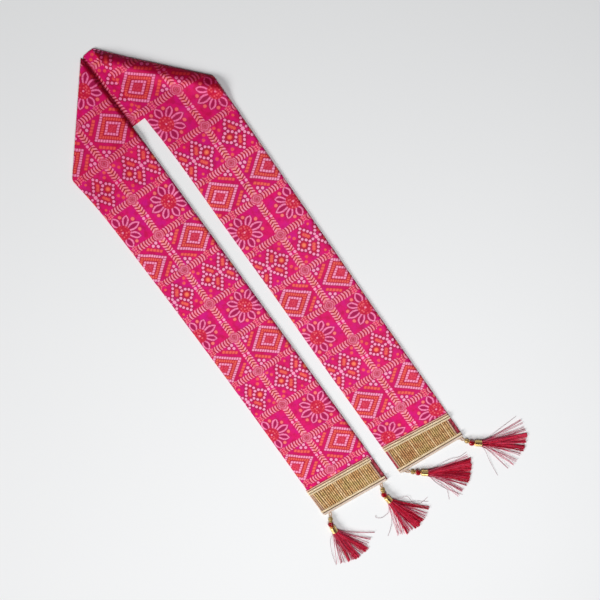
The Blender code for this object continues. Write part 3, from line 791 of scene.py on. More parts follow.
def relief(arm, x, y):
    """Height of the cloth's top over the plain strip."""
    height = sum(crease_height(crease, x, y) for crease in arm.creases)
    height += arm.fold_bulge * bell(inset_from_fold(arm, x, y) - FOLD_BULGE_AT, FOLD_BULGE_WIDTH)
    beside = abs(x - edge_x(arm, arm.shaded, y))
    roll = mix(*arm.roll, over_neck(y)) * bell(beside - ROLL_AT, ROLL_WIDTH)
    height += smooth((y - LOFT_START) / LOFT_LENGTH) * (LOFT + roll)
    height -= arm.droop * over_neck(y) * max(1.0 - beside / DROOP_REACH, 0.0)
    ripples = sum(rise * math.sin(y / along + x / across + phase)
                  for rise, along, across, phase in RIPPLES)
    height += smooth((y - RIPPLE_START) / RIPPLE_LENGTH) * (ripples + RIPPLE_RISE)
    return max(height - pucker_depth(x, y), LOWEST_RELIEF)


Station = namedtuple("Station", "top_outer top_inner top_share low_outer low_inner low_share tuck")


def arm_stations(arm):
    """Rows from the hem to the turned-under end: the y of both skins at both edges.

    top_share and low_share are heights from the strip's middle, and tuck is 1 past the fold.
    """
    rows = []
    for angle in HEM_ANGLES:
        inset = HEM_ROUND * (1 - math.sin(math.radians(angle)))
        share = math.cos(math.radians(angle))
        outer, inner = arm.hem_outer + inset, arm.hem_inner + inset
        rows.append(Station(outer, inner, share, outer, inner, share, 0.0))
    steps = int((SLANT_START - HEM_ROUND) / ROW_STEP)
    for step in range(1, steps + 1):
        outer = mix(arm.hem_outer + HEM_ROUND, SLANT_START, step / steps)
        inner = mix(arm.hem_inner + HEM_ROUND, SLANT_START, step / steps)
        rows.append(Station(outer, inner, 1.0, outer, inner, 1.0, 0.0))
    last_outer = beside_fold(arm, "outer", arm.fold_round)
    last_inner = beside_fold(arm, "inner", arm.fold_round)
    steps = int((last_inner - SLANT_START) / ROW_STEP / SLANT_SPREAD)
    for step in range(1, steps + 1):
        outer = mix(SLANT_START, last_outer, step / steps)
        inner = mix(SLANT_START, last_inner, step / steps)
        rows.append(Station(outer, inner, 1.0, outer, inner, 1.0, 0.0))
    turns = [(arm.fold_round * share, 1 - (1 - share) ** FOLD_BLUNTNESS, 0.0)
             for share in FOLD_SHARES]
    under = STRIP_THICK / 2 + STEP_UP / 2
    turns += [(under * (1 - math.cos(math.radians(a))), -math.sin(math.radians(a)), 1.0)
              for a in TUCK_ANGLES]
    turns.append((FOLD_TUCK, -1.0, 1.0))
    for index, (inset, share, tuck) in enumerate(turns):
        low_inset = mix(arm.fold_round, FOLD_TUCK + WALL, (index + 1) / len(turns))
        rows.append(Station(beside_fold(arm, "outer", inset), beside_fold(arm, "inner", inset),
                            share, beside_fold(arm, "outer", low_inset),
                            beside_fold(arm, "inner", low_inset), 1.0, tuck))
    return rows


def ring_columns(top_columns):
    """The tube's section as (distance from the near edge, which edge, height share): soft
    edges, a plain top and the same below, closed on itself."""
    quarter = [(EDGE_ROUND * part, (1 - (1 - part) ** EDGE_SQUARENESS) ** (1 / EDGE_SQUARENESS))
               for part in (0.0, 0.03, 0.09, 0.2, 0.4, 0.68)]
    top = [("outer", distance, share) for distance, share in quarter]
    top += [("across", step / top_columns, 1.0) for step in range(top_columns + 1)]
    top += [("inner", distance, share) for distance, share in reversed(quarter)]
    low = [(where, amount, -share) for where, amount, share in reversed(top[1:-1])]
    return top + low + [top[0]]


def across_share(where, amount, width):
    """Where a column lies between the outer edge, 0, and the inner edge, 1."""
    if where == "outer":
        return amount / width
    if where == "inner":
        return 1 - amount / width
    return mix(EDGE_ROUND, width - EDGE_ROUND, amount) / width


def mapped_grid(columns, rows, place, cut, shade_painting=None):
    """A cut of cloth: a grid whose corner (column, row) is carried to place(column, row).

    cut(column, row) gives the corner's UV in millimetres of cloth. The last function, where given,
    says how much shade is painted on each corner: along an edge, from 0 to 1, and by a fold or
    groove, from 0 to 2. Corners that meet are merged.
    """
    mesh = bmesh.new()
    bmesh.ops.create_grid(mesh, x_segments=columns, y_segments=rows, size=0.5)
    layer = mesh.loops.layers.uv.new("cut")
    # Painted shade, kept on each corner for the cloth's material
    pressed = mesh.verts.layers.float.new("pressed")
    folded = mesh.verts.layers.float.new("folded")
    index_of = {vert: (round((vert.co.x + 0.5) * columns), round((vert.co.y + 0.5) * rows))
                for vert in mesh.verts}
    for face in mesh.faces:
        for loop in face.loops:
            u, v = cut(*index_of[loop.vert])
            loop[layer].uv = (u / CUT_UNIT, v / CUT_UNIT)
    for vert, (column, row) in index_of.items():
        vert.co = at(*place(column, row))
        if shade_painting:
            vert[pressed], vert[folded] = shade_painting(column, row)
    bmesh.ops.remove_doubles(mesh, verts=mesh.verts, dist=1e-6)
    return mesh


def finished(mesh, name, material, smooth_angle=180.0, recalculate=True):
    """A scene object from a bmesh in metres, with its material, on the stole's only body."""
    if recalculate:
        bmesh.ops.recalc_face_normals(mesh, faces=mesh.faces)
    data = bpy.data.meshes.new(name)
    mesh.to_mesh(data)
    mesh.free()
    data.materials.append(material)
    data.shade_smooth()
    if smooth_angle < 180.0:
        data.set_sharp_from_angle(angle=math.radians(smooth_angle))
    made = bpy.data.objects.new(name, data)
    bpy.context.collection.objects.link(made)
    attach(made, "root")
    return made


def walled(made, thickness):
    """Give a skin its wall, inward from the surface."""
    wall = made.modifiers.new("wall", "SOLIDIFY")
    wall.thickness = thickness * MM
    wall.offset = -1.0
    wall.use_rim = True
    return made


def print_place(arm, x, y):
    """A place on an arm's upper side, in the print's own millimetres."""
    across = (x - along_table(arm.braid, y)) * arm.stretch
    along = along_table(arm.rows, y - along_table(arm.leans, y) * across) * CELL_ALONG
    return (-across, -along) if arm.turned else (across, along)


def build_arm(arm):
    """One arm: the ring of columns round the tube, carried along its rows from hem to fold."""
    stations = arm_stations(arm)
    ring = ring_columns(TOP_COLUMNS)

    def spot(outer_y, inner_y, where, amount):
        outer = (edge_x(arm, "outer", outer_y), outer_y)
        inner = (edge_x(arm, "inner", inner_y), inner_y)
        share = across_share(where, amount, math.dist(outer, inner))
        return mix(outer[0], inner[0], share), mix(outer[1], inner[1], share)

    def place(column, row):
        where, amount, height = ring[column]
        station = stations[row]
        top_x, top_y = spot(station.top_outer, station.top_inner, where, amount)
        low_x, low_y = spot(station.low_outer, station.low_inner, where, amount)
        base = lift(low_y)
        if row >= len(stations) - FOLD_ROWS:
            middle = (STEP_UP + STRIP_THICK) / 2
            top = middle * (1 + station.top_share)
            low = base
        else:
            top = base + STRIP_THICK / 2 * (1 + station.top_share)
            low = base + STRIP_THICK / 2 * (1 - station.low_share)
        if height > 0 and station.top_share > 0:
            top += relief(arm, top_x, top_y) * height * station.top_share
        share = (height + 1) / 2
        return mix(low_x, top_x, share), mix(low_y, top_y, share), mix(low, top, share)

    def cut(column, row):
        where, amount, height = ring[column]
        station = stations[row]
        x, y = spot(station.top_outer, station.top_inner, where, amount)
        if height < 0 and column > len(ring) // 2 - 1:
            x = 2 * edge_x(arm, "inner", y) - x
        y += 2 * station.tuck * (fold_y(arm, x, 0.0) - y)
        return print_place(arm, x, y)

    def shade_painting(column, row):
        where, amount, _ = ring[column]
        station = stations[row]
        # Painted shade along the chosen edges and close to the fold
        beside = 1 - amount / EDGE_SHADE_REACH if where in arm.dark_edges else 0.0
        x, y = spot(station.top_outer, station.top_inner, where, amount)
        inset = inset_from_fold(arm, x, y)
        # Painted shade by the right arm's fold, and in the groove where the left arm lies over the
        # neck stretch
        folded = arm.fold_dye * smooth((FOLD_SHADE_REACH - inset) / FOLD_SHADE_FADE)
        if arm.droop:
            inner = abs(x - edge_x(arm, "inner", y))
            groove = smooth((GROOVE_REACH - inner) / GROOVE_FADE)
            folded = max(folded, 2 * groove * over_neck(y))
        return smooth(max(beside, 1 - inset / EDGE_SHADE_REACH)), folded

    mesh = mapped_grid(len(ring) - 1, len(stations) - 1, place, cut, shade_painting)
    made = finished(mesh, "silk_arm_" + arm.name, PRINTED_SILK)
    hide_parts("arm_" + arm.name)
    return walled(made, WALL)


for arm in ARMS:
    build_arm(arm)


# ---------------------------------------------------------------------------------------------
# The neck stretch
# The same tube between the two folds. It lies under both arms and shows its other side in the
# gap between them, so the print runs the other way there.
# ---------------------------------------------------------------------------------------------

NECK_INNER_MID = 635.0
NECK_INNER_DROP = 8.5
NECK_OUTER_MID = 752.0
NECK_OUTER_DROP = 1.5
NECK_HALF_SPAN = 124.0
NECK_OUTER_HALF_SPAN = 15.0
NECK_CLEARANCE = 0.6           # from the turned-under end of an arm
NECK_ROWS = 190
NECK_BRAIDS = (646.0, 732.0)   # y of the two lengthwise braids that show
NECK_NODE_X = -12.4            # x of the cross braid that shows, midway between them
NECK_SHEAR = 0.05              # how far the cross braid leans
NECK_ROW_KIND = 2              # the row beside it holds butterflies
NECK_GROOVE = (2.4, 4.6)       # how far the groove's painted shade reaches from the left arm, low and high
NECK_GROOVE_FROM = 700.0       # and where it widens
NECK_GROOVE_LENGTH = 20.0
NECK_GROOVE_FADE = 2.4


def neck_inner_y(x):
    return NECK_INNER_MID - NECK_INNER_DROP * (x / NECK_HALF_SPAN) ** 2


def neck_outer_y(x):
    return NECK_OUTER_MID - NECK_OUTER_DROP * (x / NECK_OUTER_HALF_SPAN) ** 2


def neck_end(arm, column, edge_y):
    """The x where an edge of the neck stretch reaches the turned-under end of an arm."""
    inset = FOLD_TUCK + NECK_CLEARANCE
    x = edge_x(arm, column, arm.fold_outer[1])
    for _ in range(12):
        x += (edge_y(x) - fold_line_y(arm, x, inset)) / fold_slope(arm)
    return x


def build_neck():
    """The neck stretch: the same ring of columns, carried from the left fold to the right."""
    ring = ring_columns(TOP_COLUMNS)
    ends = [(neck_end(arm, "outer", neck_inner_y), neck_end(arm, "inner", neck_outer_y))
            for arm in ARMS]

    def spot(column, row):
        where, amount, _ = ring[column]
        inner_x = mix(ends[0][0], ends[1][0], row / NECK_ROWS)
        outer_x = mix(ends[0][1], ends[1][1], row / NECK_ROWS)
        inner = (inner_x, neck_inner_y(inner_x))
        outer = (outer_x, neck_outer_y(outer_x))
        share = across_share(where, amount, math.dist(inner, outer))
        return mix(inner[0], outer[0], share), mix(inner[1], outer[1], share)

    def place(column, row):
        x, y = spot(column, row)
        return x, y, STRIP_THICK / 2 * (1 + ring[column][2])

    def cut(column, row):
        x, y = spot(column, row)
        if ring[column][2] < 0:
            y = 2 * NECK_OUTER_MID - y
        across = (y - NECK_BRAIDS[0]) * CELL_ACROSS / (NECK_BRAIDS[1] - NECK_BRAIDS[0])
        lean = NECK_SHEAR * (y - (NECK_BRAIDS[0] + NECK_BRAIDS[1]) / 2)
        return across, x + lean - NECK_NODE_X + NECK_ROW_KIND * CELL_ALONG

    def shade_painting(column, row):
        x, y = spot(column, row)
        # Painted shade on the neck stretch, in the groove beside the left arm's inner edge
        past = x - edge_x(LEFT_ARM, "inner", y)
        reach = mix(*NECK_GROOVE, smooth((y - NECK_GROOVE_FROM) / NECK_GROOVE_LENGTH))
        return 0.0, 2 * smooth((reach - past) / NECK_GROOVE_FADE)

    mesh = mapped_grid(len(ring) - 1, NECK_ROWS, place, cut, shade_painting)
    made = finished(mesh, "silk_neck_stretch", PRINTED_SILK)
    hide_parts("neck_stretch")
    return walled(made, WALL)


build_neck()


# ---------------------------------------------------------------------------------------------
# The gold lace
# A woven gota lace on each end: flattened ropes of metallic thread run along the arm on a thin
# metallic ground, between three twisted cords above and two below. The ropes at its ends are a
# duller selvage. It is sewn down with pale thread, and a pale cord runs along the hem.
# ---------------------------------------------------------------------------------------------

LACE_FLOOR = 2.7               # the lace lies this high, on the cloth
GROUND_THICK = 0.25
GROUND_ROWS = 12
EDGE_DROP = 3.0                # near the cloth's edge the lace follows it down from here
RIBS = 32
RIB_TWIST = 4.7
RIB_TOP_INSET = 9.4            # from the lace's upper edge to the ends of its ribs
RIB_LOW_INSET = 6.6
RIB_JITTER = 0.003             # as a share of the lace's width
LEAN_AT = 0.1                  # some ribs near the left lace's outer end lean, round this share
LEAN_WIDTH = 0.07
EDGING_TWIST = 4.4
STITCHES = 42                  # along each edging
HEM_CORD_TWIST = 3.1

# outer_x, inner_x: the lace's ends; its edges run from the outer to the inner one's height
# pale_ribs, edge_ribs: the numbers of the paler ribs and of the selvage
# upper_span, lower_span: where the edgings start and end, as shares of the lace's width
# ribs_to, lean: the share of the width that the ribs take, and how far some of them lean
Lace = namedtuple("Lace", "arm upper_outer upper_inner lower_outer lower_inner outer_x inner_x "
                          "gold pale_ribs edge_ribs upper_span lower_span ribs_to lean")
Cord = namedtuple("Cord", "inset radius gold twist")
Bend = namedtuple("Bend", "along inset height radius")


def metal_thread(name, light, deep, roughness, metallic, grain, tarnish=None):
    """Metallic thread: flat metal wound on a core. Its colour is painted light in specks, as
    glints, and dark between, as shade.

    The tarnish, where given, is two more colours that come in patches.
    """
    made, shader, wire = new_material(name, roughness, metallic, specular_ior_level=0.5)
    spot = wire.in_millimetres()
    specks = spot.noise(1.6, detail=3.0, roughness=0.7)
    drift = spot.noise(0.07, detail=2.0)
    # Painted glints: the colour is light in specks, and painted shade darkens it between
    tone = specks.above(0.5, 0.2) * 0.7 + drift.above(0.5, 0.25) * 0.3
    winding = (spot.part(0) * 3.1 + spot.part(1) * 7.3 + spot.part(2) * 4.0).sine()
    colour = tone.blend(deep, light)
    if tarnish:
        patches = spot.noise(0.055, detail=2.0)
        colour = (patches.below(0.45, 0.07) * 0.6).over(colour, tarnish[0])
        colour = (patches.above(0.56, 0.07) * 0.55).over(colour, tarnish[1])
    connect(made, shader, base_color=colour, roughness=specks * 0.3 + (roughness - 0.15),
            normal=bumped(wire, winding * 0.5 + specks, 0.6, grain * MM))
    return made


RIB_GOLD = metal_thread("rib_gold_thread", ink(246, 212, 154), ink(166, 120, 66), 0.42, 0.4, 0.05,
                        (ink(196, 172, 104), ink(196, 142, 82)))
WORN_GOLD = metal_thread("worn_gold_thread", ink(234, 194, 138), ink(156, 108, 58), 0.44, 0.4,
                         0.05, (ink(186, 164, 98), ink(180, 118, 66)))
PALE_GOLD = metal_thread("pale_gold_thread", ink(255, 242, 212), ink(224, 190, 146), 0.45, 0.25,
                         0.05)
DULL_GOLD = metal_thread("dull_gold_thread", ink(255, 208, 188), ink(224, 160, 140), 0.5, 0.1,
                         0.05)
GREY_GOLD = metal_thread("grey_gold_thread", ink(248, 232, 220), ink(206, 182, 166), 0.5, 0.1,
                         0.05)
GROUND_GOLD = metal_thread("ground_gold_thread", ink(136, 98, 54), ink(86, 56, 28), 0.55, 0.4,
                           0.03)
PALE_RIB_GOLD = metal_thread("pale_rib_thread", ink(246, 216, 166), ink(188, 146, 98), 0.44, 0.3,
                             0.05)
SELVAGE_GOLD = metal_thread("selvage_thread", ink(222, 184, 156), ink(160, 122, 98), 0.5, 0.15,
                            0.04)
LOOP_GOLD = metal_thread("loop_thread", ink(244, 214, 184), ink(150, 110, 86), 0.5, 0.15, 0.05)
SEWING_THREAD = metal_thread("pale_sewing_thread", ink(246, 232, 214), ink(212, 186, 164), 0.6,
                             0.0, 0.02)
LACES = [
    Lace(LEFT_ARM, 49.5, 44.0, 2.8, -2.2, -123.3, -15.5, RIB_GOLD, [2, 4, 12, 13, 25], [0, 1, 31],
         upper_span=(0.0, 1.012), lower_span=(0.0, 1.036), ribs_to=1.0, lean=0.018),
    Lace(RIGHT_ARM, 35.5, 44.5, -7.4, -4.4, 116.0, 10.9, WORN_GOLD, [3, 11, 20, 28], [0, 31],
         upper_span=(-0.042, 1.0), lower_span=(-0.042, 1.0), ribs_to=0.972, lean=0.0),
]
# The cords of each edging, from its outer side in
CORDS = {
    "upper": [Cord(0.8, 0.62, DULL_GOLD, 2.6), Cord(4.15, 1.0, PALE_GOLD, EDGING_TWIST),
              Cord(8.05, 0.84, PALE_GOLD, EDGING_TWIST)],
    "lower": [Cord(0.9, 0.92, GREY_GOLD, EDGING_TWIST), Cord(5.3, 1.02, PALE_GOLD, EDGING_TWIST)],
}
# A stitch over each edging, bend by bend: along it as a share of its length, in from the edge
STITCH = {
    "upper": [Bend(0.0, 3.1, LACE_FLOOR + 0.4, 0.2), Bend(0.006, 4.6, LACE_FLOOR + 1.85, 0.24),
              Bend(0.012, 6.2, LACE_FLOOR + 0.4, 0.2)],
    "lower": [Bend(0.0, -2.1, 0.5, 0.26), Bend(0.002, -1.5, 2.3, 0.3),
              Bend(0.005, 0.3, LACE_FLOOR + 1.6, 0.3), Bend(0.011, 2.4, LACE_FLOOR + 0.5, 0.22)],
}


def tubes(name, paths, material, sides=6, tones=()):
    """Threads as round tubes. A path is a list of (x, y, z, radius), all in millimetres.

    Each of the tones, where given, is kept as the attribute "tone" on one thread.
    """
    curve = bpy.data.curves.new(name, "CURVE")
    curve.dimensions = "3D"
    curve.bevel_depth = MM
    curve.bevel_resolution = (sides - 4) // 2
    curve.use_fill_caps = True
    for path in paths:
        spline = curve.splines.new("POLY")
        spline.points.add(len(path) - 1)
        for point, (x, y, z, radius) in zip(spline.points, path):
            point.co = (*at(x, y, z), 1.0)
            point.radius = radius
    source = bpy.data.objects.new(name, curve)
    data = bpy.data.meshes.new_from_object(source)
    bpy.data.objects.remove(source)
    bpy.data.curves.remove(curve)
    mesh = bmesh.new()
    mesh.from_mesh(data)
    bpy.data.meshes.remove(data)
    if tones:
        layer = mesh.verts.layers.float.new("tone")
        share = len(mesh.verts) // len(paths)
        for index, vert in enumerate(mesh.verts):
            vert[layer] = tones[index // share]
    return finished(mesh, name, material, smooth_angle=60.0)


def rope(start, end, height, ply_radius, reach, twist, phase=0.0, plies=2, flat=1.0, step=0.55):
    """The plies of a twisted rope from start to end, (x, y) each, as paths.

    height(x, y) gives the height of its middle.
    """
    length = math.dist(start, end)
    along = ((end[0] - start[0]) / length, (end[1] - start[1]) / length)
    count = max(int(length / step), 2)
    paths = []
    for ply in range(plies):
        path = []
        for index in range(count + 1):
            distance = length * index / count
            turn = 2 * math.pi * (distance / twist + ply / plies) + phase
            beside = reach * math.cos(turn)
            x = start[0] + along[0] * distance - along[1] * beside
            y = start[1] + along[1] * distance + along[0] * beside
            path.append((x, y, height(x, y) + reach * flat * math.sin(turn), ply_radius))
        paths.append(path)
    return paths


def lace_spot(lace, share, edge, inset):
    """A place on the lace: share from 0 at its outer end to 1, inset from one of its edges."""
    if edge == "upper":
        y = mix(lace.upper_outer, lace.upper_inner, share) - inset
    else:
        y = mix(lace.lower_outer, lace.lower_inner, share) + inset
    return mix(lace.outer_x, lace.inner_x, share), y


def cloth_drop(arm, x, y):
    """How much lower than its flat top an arm's cloth is at a place near one of its edges."""
    outer = abs(x - edge_x(arm, "outer", y))
    inner = abs(x - edge_x(arm, "inner", y))
    width = abs(edge_x(arm, "outer", y) - edge_x(arm, "inner", y))
    inside = min(outer, inner) if outer + inner < width + 0.01 else -min(outer, inner)
    share = min(max((EDGE_DROP - inside) / EDGE_DROP, 0.0), 1.0)
    over = max(-inside, 0.0) * 1.2
    return STRIP_THICK / 2 * (1 - math.sqrt(1 - share * share)) + over


def lace_ground(lace):
    """The thin woven ground under the cords and ribs."""
    def place(column, row):
        share = column / RIBS * lace.ribs_to
        top = lace_spot(lace, share, "upper", 0.4)
        low = lace_spot(lace, share, "lower", 0.0)
        y = mix(low[1], top[1], row / GROUND_ROWS)
        return top[0], y, LACE_FLOOR + GROUND_THICK - cloth_drop(lace.arm, top[0], y)

    mesh = mapped_grid(RIBS, GROUND_ROWS, place, lambda column, row: (column, row))
    made = finished(mesh, "lace_ground_" + lace.arm.name, GROUND_GOLD)
    if made.data.polygons[0].normal.z < 0:
        made.data.flip_normals()
    return walled(made, GROUND_THICK)


def lace_ribs(lace, rng):
    """Flattened ropes side by side; a few are of paler gold, and those at the ends are duller."""
    pitch = abs(lace.outer_x - lace.inner_x) * lace.ribs_to / RIBS
    gold = []
    pale = []
    selvage = []
    for rib in range(RIBS):
        share = (rib + 0.5) / RIBS * lace.ribs_to
        start = lace_spot(lace, share + rng.uniform(-RIB_JITTER, RIB_JITTER), "lower",
                          RIB_LOW_INSET)
        share -= lace.lean * bell(share - LEAN_AT, LEAN_WIDTH)
        end = lace_spot(lace, share + rng.uniform(-RIB_JITTER, RIB_JITTER), "upper",
                        RIB_TOP_INSET)
        height = LACE_FLOOR + GROUND_THICK + rng.uniform(0.42, 0.62)
        plies = rope(start, end, lambda x, y: height - cloth_drop(lace.arm, x, y),
                     pitch * 0.25, pitch * 0.2, RIB_TWIST * rng.uniform(0.92, 1.08),
                     phase=rng.uniform(0, 6.28), flat=0.35)
        if rib in lace.edge_ribs:
            selvage += plies
        elif rib in lace.pale_ribs:
            pale += plies
        else:
            gold += plies
    made = tubes("lace_ribs_" + lace.arm.name, gold, lace.gold)
    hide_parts("lace_" + lace.arm.name)
    return [made, tubes("lace_pale_ribs_" + lace.arm.name, pale, PALE_RIB_GOLD),
            tubes("lace_selvage_" + lace.arm.name, selvage, SELVAGE_GOLD)]


def lace_stitch(lace, edge, share, reach):
    """One stitch over an edging, from this share of its length; the last bend's reach varies."""
    *first, last = STITCH[edge]
    path = [(*lace_spot(lace, share + bend.along, edge, bend.inset), bend.height, bend.radius)
            for bend in first]
    end = lace_spot(lace, min(share + last.along * reach, 1.0), edge, last.inset * reach)
    return [*path, (*end, last.height, last.radius)]


def lace_edging(lace, edge, rng):
    """Twisted cords side by side, and the pale stitches that hold them down."""
    span = lace.upper_span if edge == "upper" else lace.lower_span
    pieces = []
    for number, cord in enumerate(CORDS[edge], 1):
        height = LACE_FLOOR + GROUND_THICK + cord.radius * 1.1
        plies = rope(lace_spot(lace, span[0], edge, cord.inset),
                     lace_spot(lace, span[1], edge, cord.inset),
                     lambda x, y: height - cloth_drop(lace.arm, x, y),
                     cord.radius, cord.radius * 0.95, cord.twist, phase=cord.inset, flat=0.45)
        name = "edging_cord_%s_%s_%d" % (lace.arm.name, edge, number)
        pieces.append(tubes(name, plies, cord.gold))
    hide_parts("edging_%s_%s" % (lace.arm.name, edge))
    paths = []
    for index in range(STITCHES):
        share = mix(*span, (index + 0.5 + rng.uniform(-0.25, 0.25)) / STITCHES)
        paths.append(lace_stitch(lace, edge, share, rng.uniform(0.8, 1.1)))
    name = "edging_stitches_%s_%s" % (lace.arm.name, edge)
    return [*pieces, tubes(name, paths, SEWING_THREAD, sides=4)]


def hem_cord(lace):
    """A pale cord along the hem's edge, under the whipped stitches."""
    arm = lace.arm
    outer = edge_x(arm, "outer", arm.hem_outer)
    inner = edge_x(arm, "inner", arm.hem_inner)
    inward = math.copysign(1.0, inner - outer)
    plies = rope((outer + inward, arm.hem_outer - 0.2), (inner - inward, arm.hem_inner - 0.2),
                 lambda x, y: 1.5, 0.55, 0.5, HEM_CORD_TWIST)
    return tubes("hem_cord_" + arm.name, plies, PALE_GOLD)


lace_rng = random.Random(23)
for lace in LACES:
    ground = lace_ground(lace)
    pieces = lace_ribs(lace, lace_rng)
    pieces += lace_edging(lace, "upper", lace_rng)
    pieces += lace_edging(lace, "lower", lace_rng)
    pieces.append(hem_cord(lace))
    abs(lace.outer_x - lace.inner_x) * MM


# ---------------------------------------------------------------------------------------------
# The beads and caps of the tassels
# Each tassel hangs on a loop of gold thread: a filigree bead, a faceted red glass bead between
# two gold rims, and a gold cap with four flutes that holds the silk. All lie on the surface.
# ---------------------------------------------------------------------------------------------

FILIGREE_LENGTH = 6.8
FILIGREE_RADIUS = 3.5
GRAINS_ROUND = 9
GRAIN_RADIUS = 0.46
# Rings of grains round the filigree: distance from its end, and radius
GRAIN_RINGS = [(1.25, 2.75), (2.25, 3.3), (FILIGREE_LENGTH / 2, 3.55), (4.55, 3.3), (5.55, 2.75)]
GRAIN_SWAY = 0.18              # radians that each ring but the middle one is turned
GLASS_LENGTH = 8.0
GLASS_RADIUS = 4.2
GLASS_SWELL = 1.12             # the facets' corners stand out this much
SWELL_LIFT = 0.4               # facets and grains that stand out hold the beads up this much
CAP_LENGTH = 9.9
CAP_RADIUS = 4.7
CAP_LIFT = 0.35                # its lip is wider, and holds its middle up this much
FLUTES = 4
FLUTE_TURN = 72.0              # of the uppermost groove, in degrees round the cap
FLUTE_DEPTH = 0.12             # as a share of the cap's radius
FLUTE_SHARPNESS = 3.4
FLUTED = (0.8, 9.7)            # the stretch of the cap that has flutes
BEAD_GAP = 0.3
TIE_CLEARANCE = 0.7            # from the hem to the near end of the loop
LOOP_HALF_WIDTH = 1.7
LOOP_POINTS = 44
LOOP_TWISTS = 5
PLY_REACH = 0.45               # of a loop's two plies, from its middle line
PLY_RADIUS = 0.56

# tie_x: where the loop is sewn to the hem; loop: its length; the angles are headings over the
# surface; flare: how far a thread's place in the cap carries it sideways; ragged: how uneven the
# skirt's cut end is
Tassel = namedtuple("Tassel", "name arm tie_x loop bead_angle cap_angle flare ragged")
TASSELS = [
    Tassel("left_outer", LEFT_ARM, -112.0, 7.3, -122.0, -96.0, 1.1, 3.6),
    Tassel("left_inner", LEFT_ARM, -22.5, 6.2, -108.0, -83.0, 0.7, 3.6),
    Tassel("right_inner", RIGHT_ARM, 17.0, 9.4, -38.5, -37.0, 0.3, 2.0),
    Tassel("right_outer", RIGHT_ARM, 114.0, 7.4, -54.0, -38.0, 0.2, 2.0),
]
GROOVE_PATINA_AND_SHADE = ink(70, 38, 4)        # the brown that stays in the grooves of gilt metal, painted this dark as the shade in them too


def polished_gold(name, light, deep, roughness, metallic):
    """Gilt metal: a little tarnished and scratched, and dark brown where the attribute says
    groove, as patina and as painted shade.
    """
    made, shader, wire = new_material(name, roughness, metallic)
    spot = wire.in_millimetres()
    tarnish = spot.noise(0.9, detail=4.0, roughness=0.65)
    scratches = spot.times((1.0, 1.0, 4.0)).noise(6.0, detail=3.0)
    colour = tarnish.above(0.45, 0.2).blend(deep, light)
    # Dark brown in the grooves, as patina and as painted shade
    colour = (wire.attribute("groove").above(0.38, 0.28) * 0.96).over(colour, GROOVE_PATINA_AND_SHADE)
    connect(made, shader, base_color=colour, roughness=tarnish * 0.2 + (roughness - 0.08),
            normal=bumped(wire, scratches, 0.3, 0.02 * MM))
    return made


def red_glass():
    made, shader, wire = new_material("red_glass", 0.06, specular_ior_level=0.5, coat_weight=0.3,
                                      coat_roughness=0.03)
    depth = wire.in_millimetres().noise(0.35, detail=2.0)
    colour = depth.above(0.5, 0.2).blend(ink(110, 0, 10), ink(186, 10, 34))
    connect(made, shader, base_color=colour, roughness=depth * 0.06 + 0.04)
    return made


FILIGREE_GOLD = polished_gold("filigree_gold", ink(230, 200, 136), ink(112, 84, 42), 0.38, 0.9)
CAP_GOLD = polished_gold("cap_gold", ink(255, 228, 152), ink(228, 174, 98), 0.28, 0.6)
RED_GLASS = red_glass()


def heading(degrees):
    angle = math.radians(degrees)
    return math.cos(angle), math.sin(angle)


def move(point, direction, distance):
    return point[0] + direction[0] * distance, point[1] + direction[1] * distance


def hem_y(arm, x):
    outer = edge_x(arm, "outer", arm.hem_outer)
    inner = edge_x(arm, "inner", arm.hem_inner)
    return mix(arm.hem_outer, arm.hem_inner, (x - outer) / (inner - outer))


def laid_down(mesh, spot, angle, height):
    """Carry a mesh that was made in millimetres along +x to its place on the surface."""
    turn = Matrix.Rotation(math.radians(angle), 4, "Z")
    bmesh.ops.transform(mesh, verts=mesh.verts,
                        matrix=Matrix.Translation(at(spot[0], spot[1], height))
                        @ Matrix.Scale(MM, 4) @ turn)
    return mesh


def spun(profile, sides, fluted=False):
    """A turned piece along +x from its profile's (distance, radius), in millimetres.

    Where it is fluted, the attribute "groove" is 1 at the bottom of each groove.
    """
    mesh = bmesh.new()
    line = [mesh.verts.new((distance, 0.0, radius)) for distance, radius in profile]
    edges = [mesh.edges.new(pair) for pair in zip(line, line[1:])]
    bmesh.ops.spin(mesh, geom=line + edges, axis=(1, 0, 0), cent=(0, 0, 0),
                   angle=2 * math.pi, steps=sides, use_merge=True)
    groove = mesh.verts.layers.float.new("groove")
    for vert in mesh.verts:
        if fluted and FLUTED[0] < vert.co.x < FLUTED[1]:
            turn = math.atan2(vert.co.z, vert.co.y) - math.radians(FLUTE_TURN)
            vert[groove] = abs(math.cos(turn * FLUTES / 2)) ** FLUTE_SHARPNESS
            shrink = 1 - FLUTE_DEPTH * vert[groove]
            vert.co.y *= shrink
            vert.co.z *= shrink
    bmesh.ops.remove_doubles(mesh, verts=mesh.verts, dist=0.001)
    bmesh.ops.recalc_face_normals(mesh, faces=mesh.faces)
    return mesh


def joined(meshes):
    """One bmesh from several."""
    whole = bmesh.new()
    for mesh in meshes:
        data = bpy.data.meshes.new("part")
        mesh.to_mesh(data)
        mesh.free()
        whole.from_mesh(data)
        bpy.data.meshes.remove(data)
    return whole


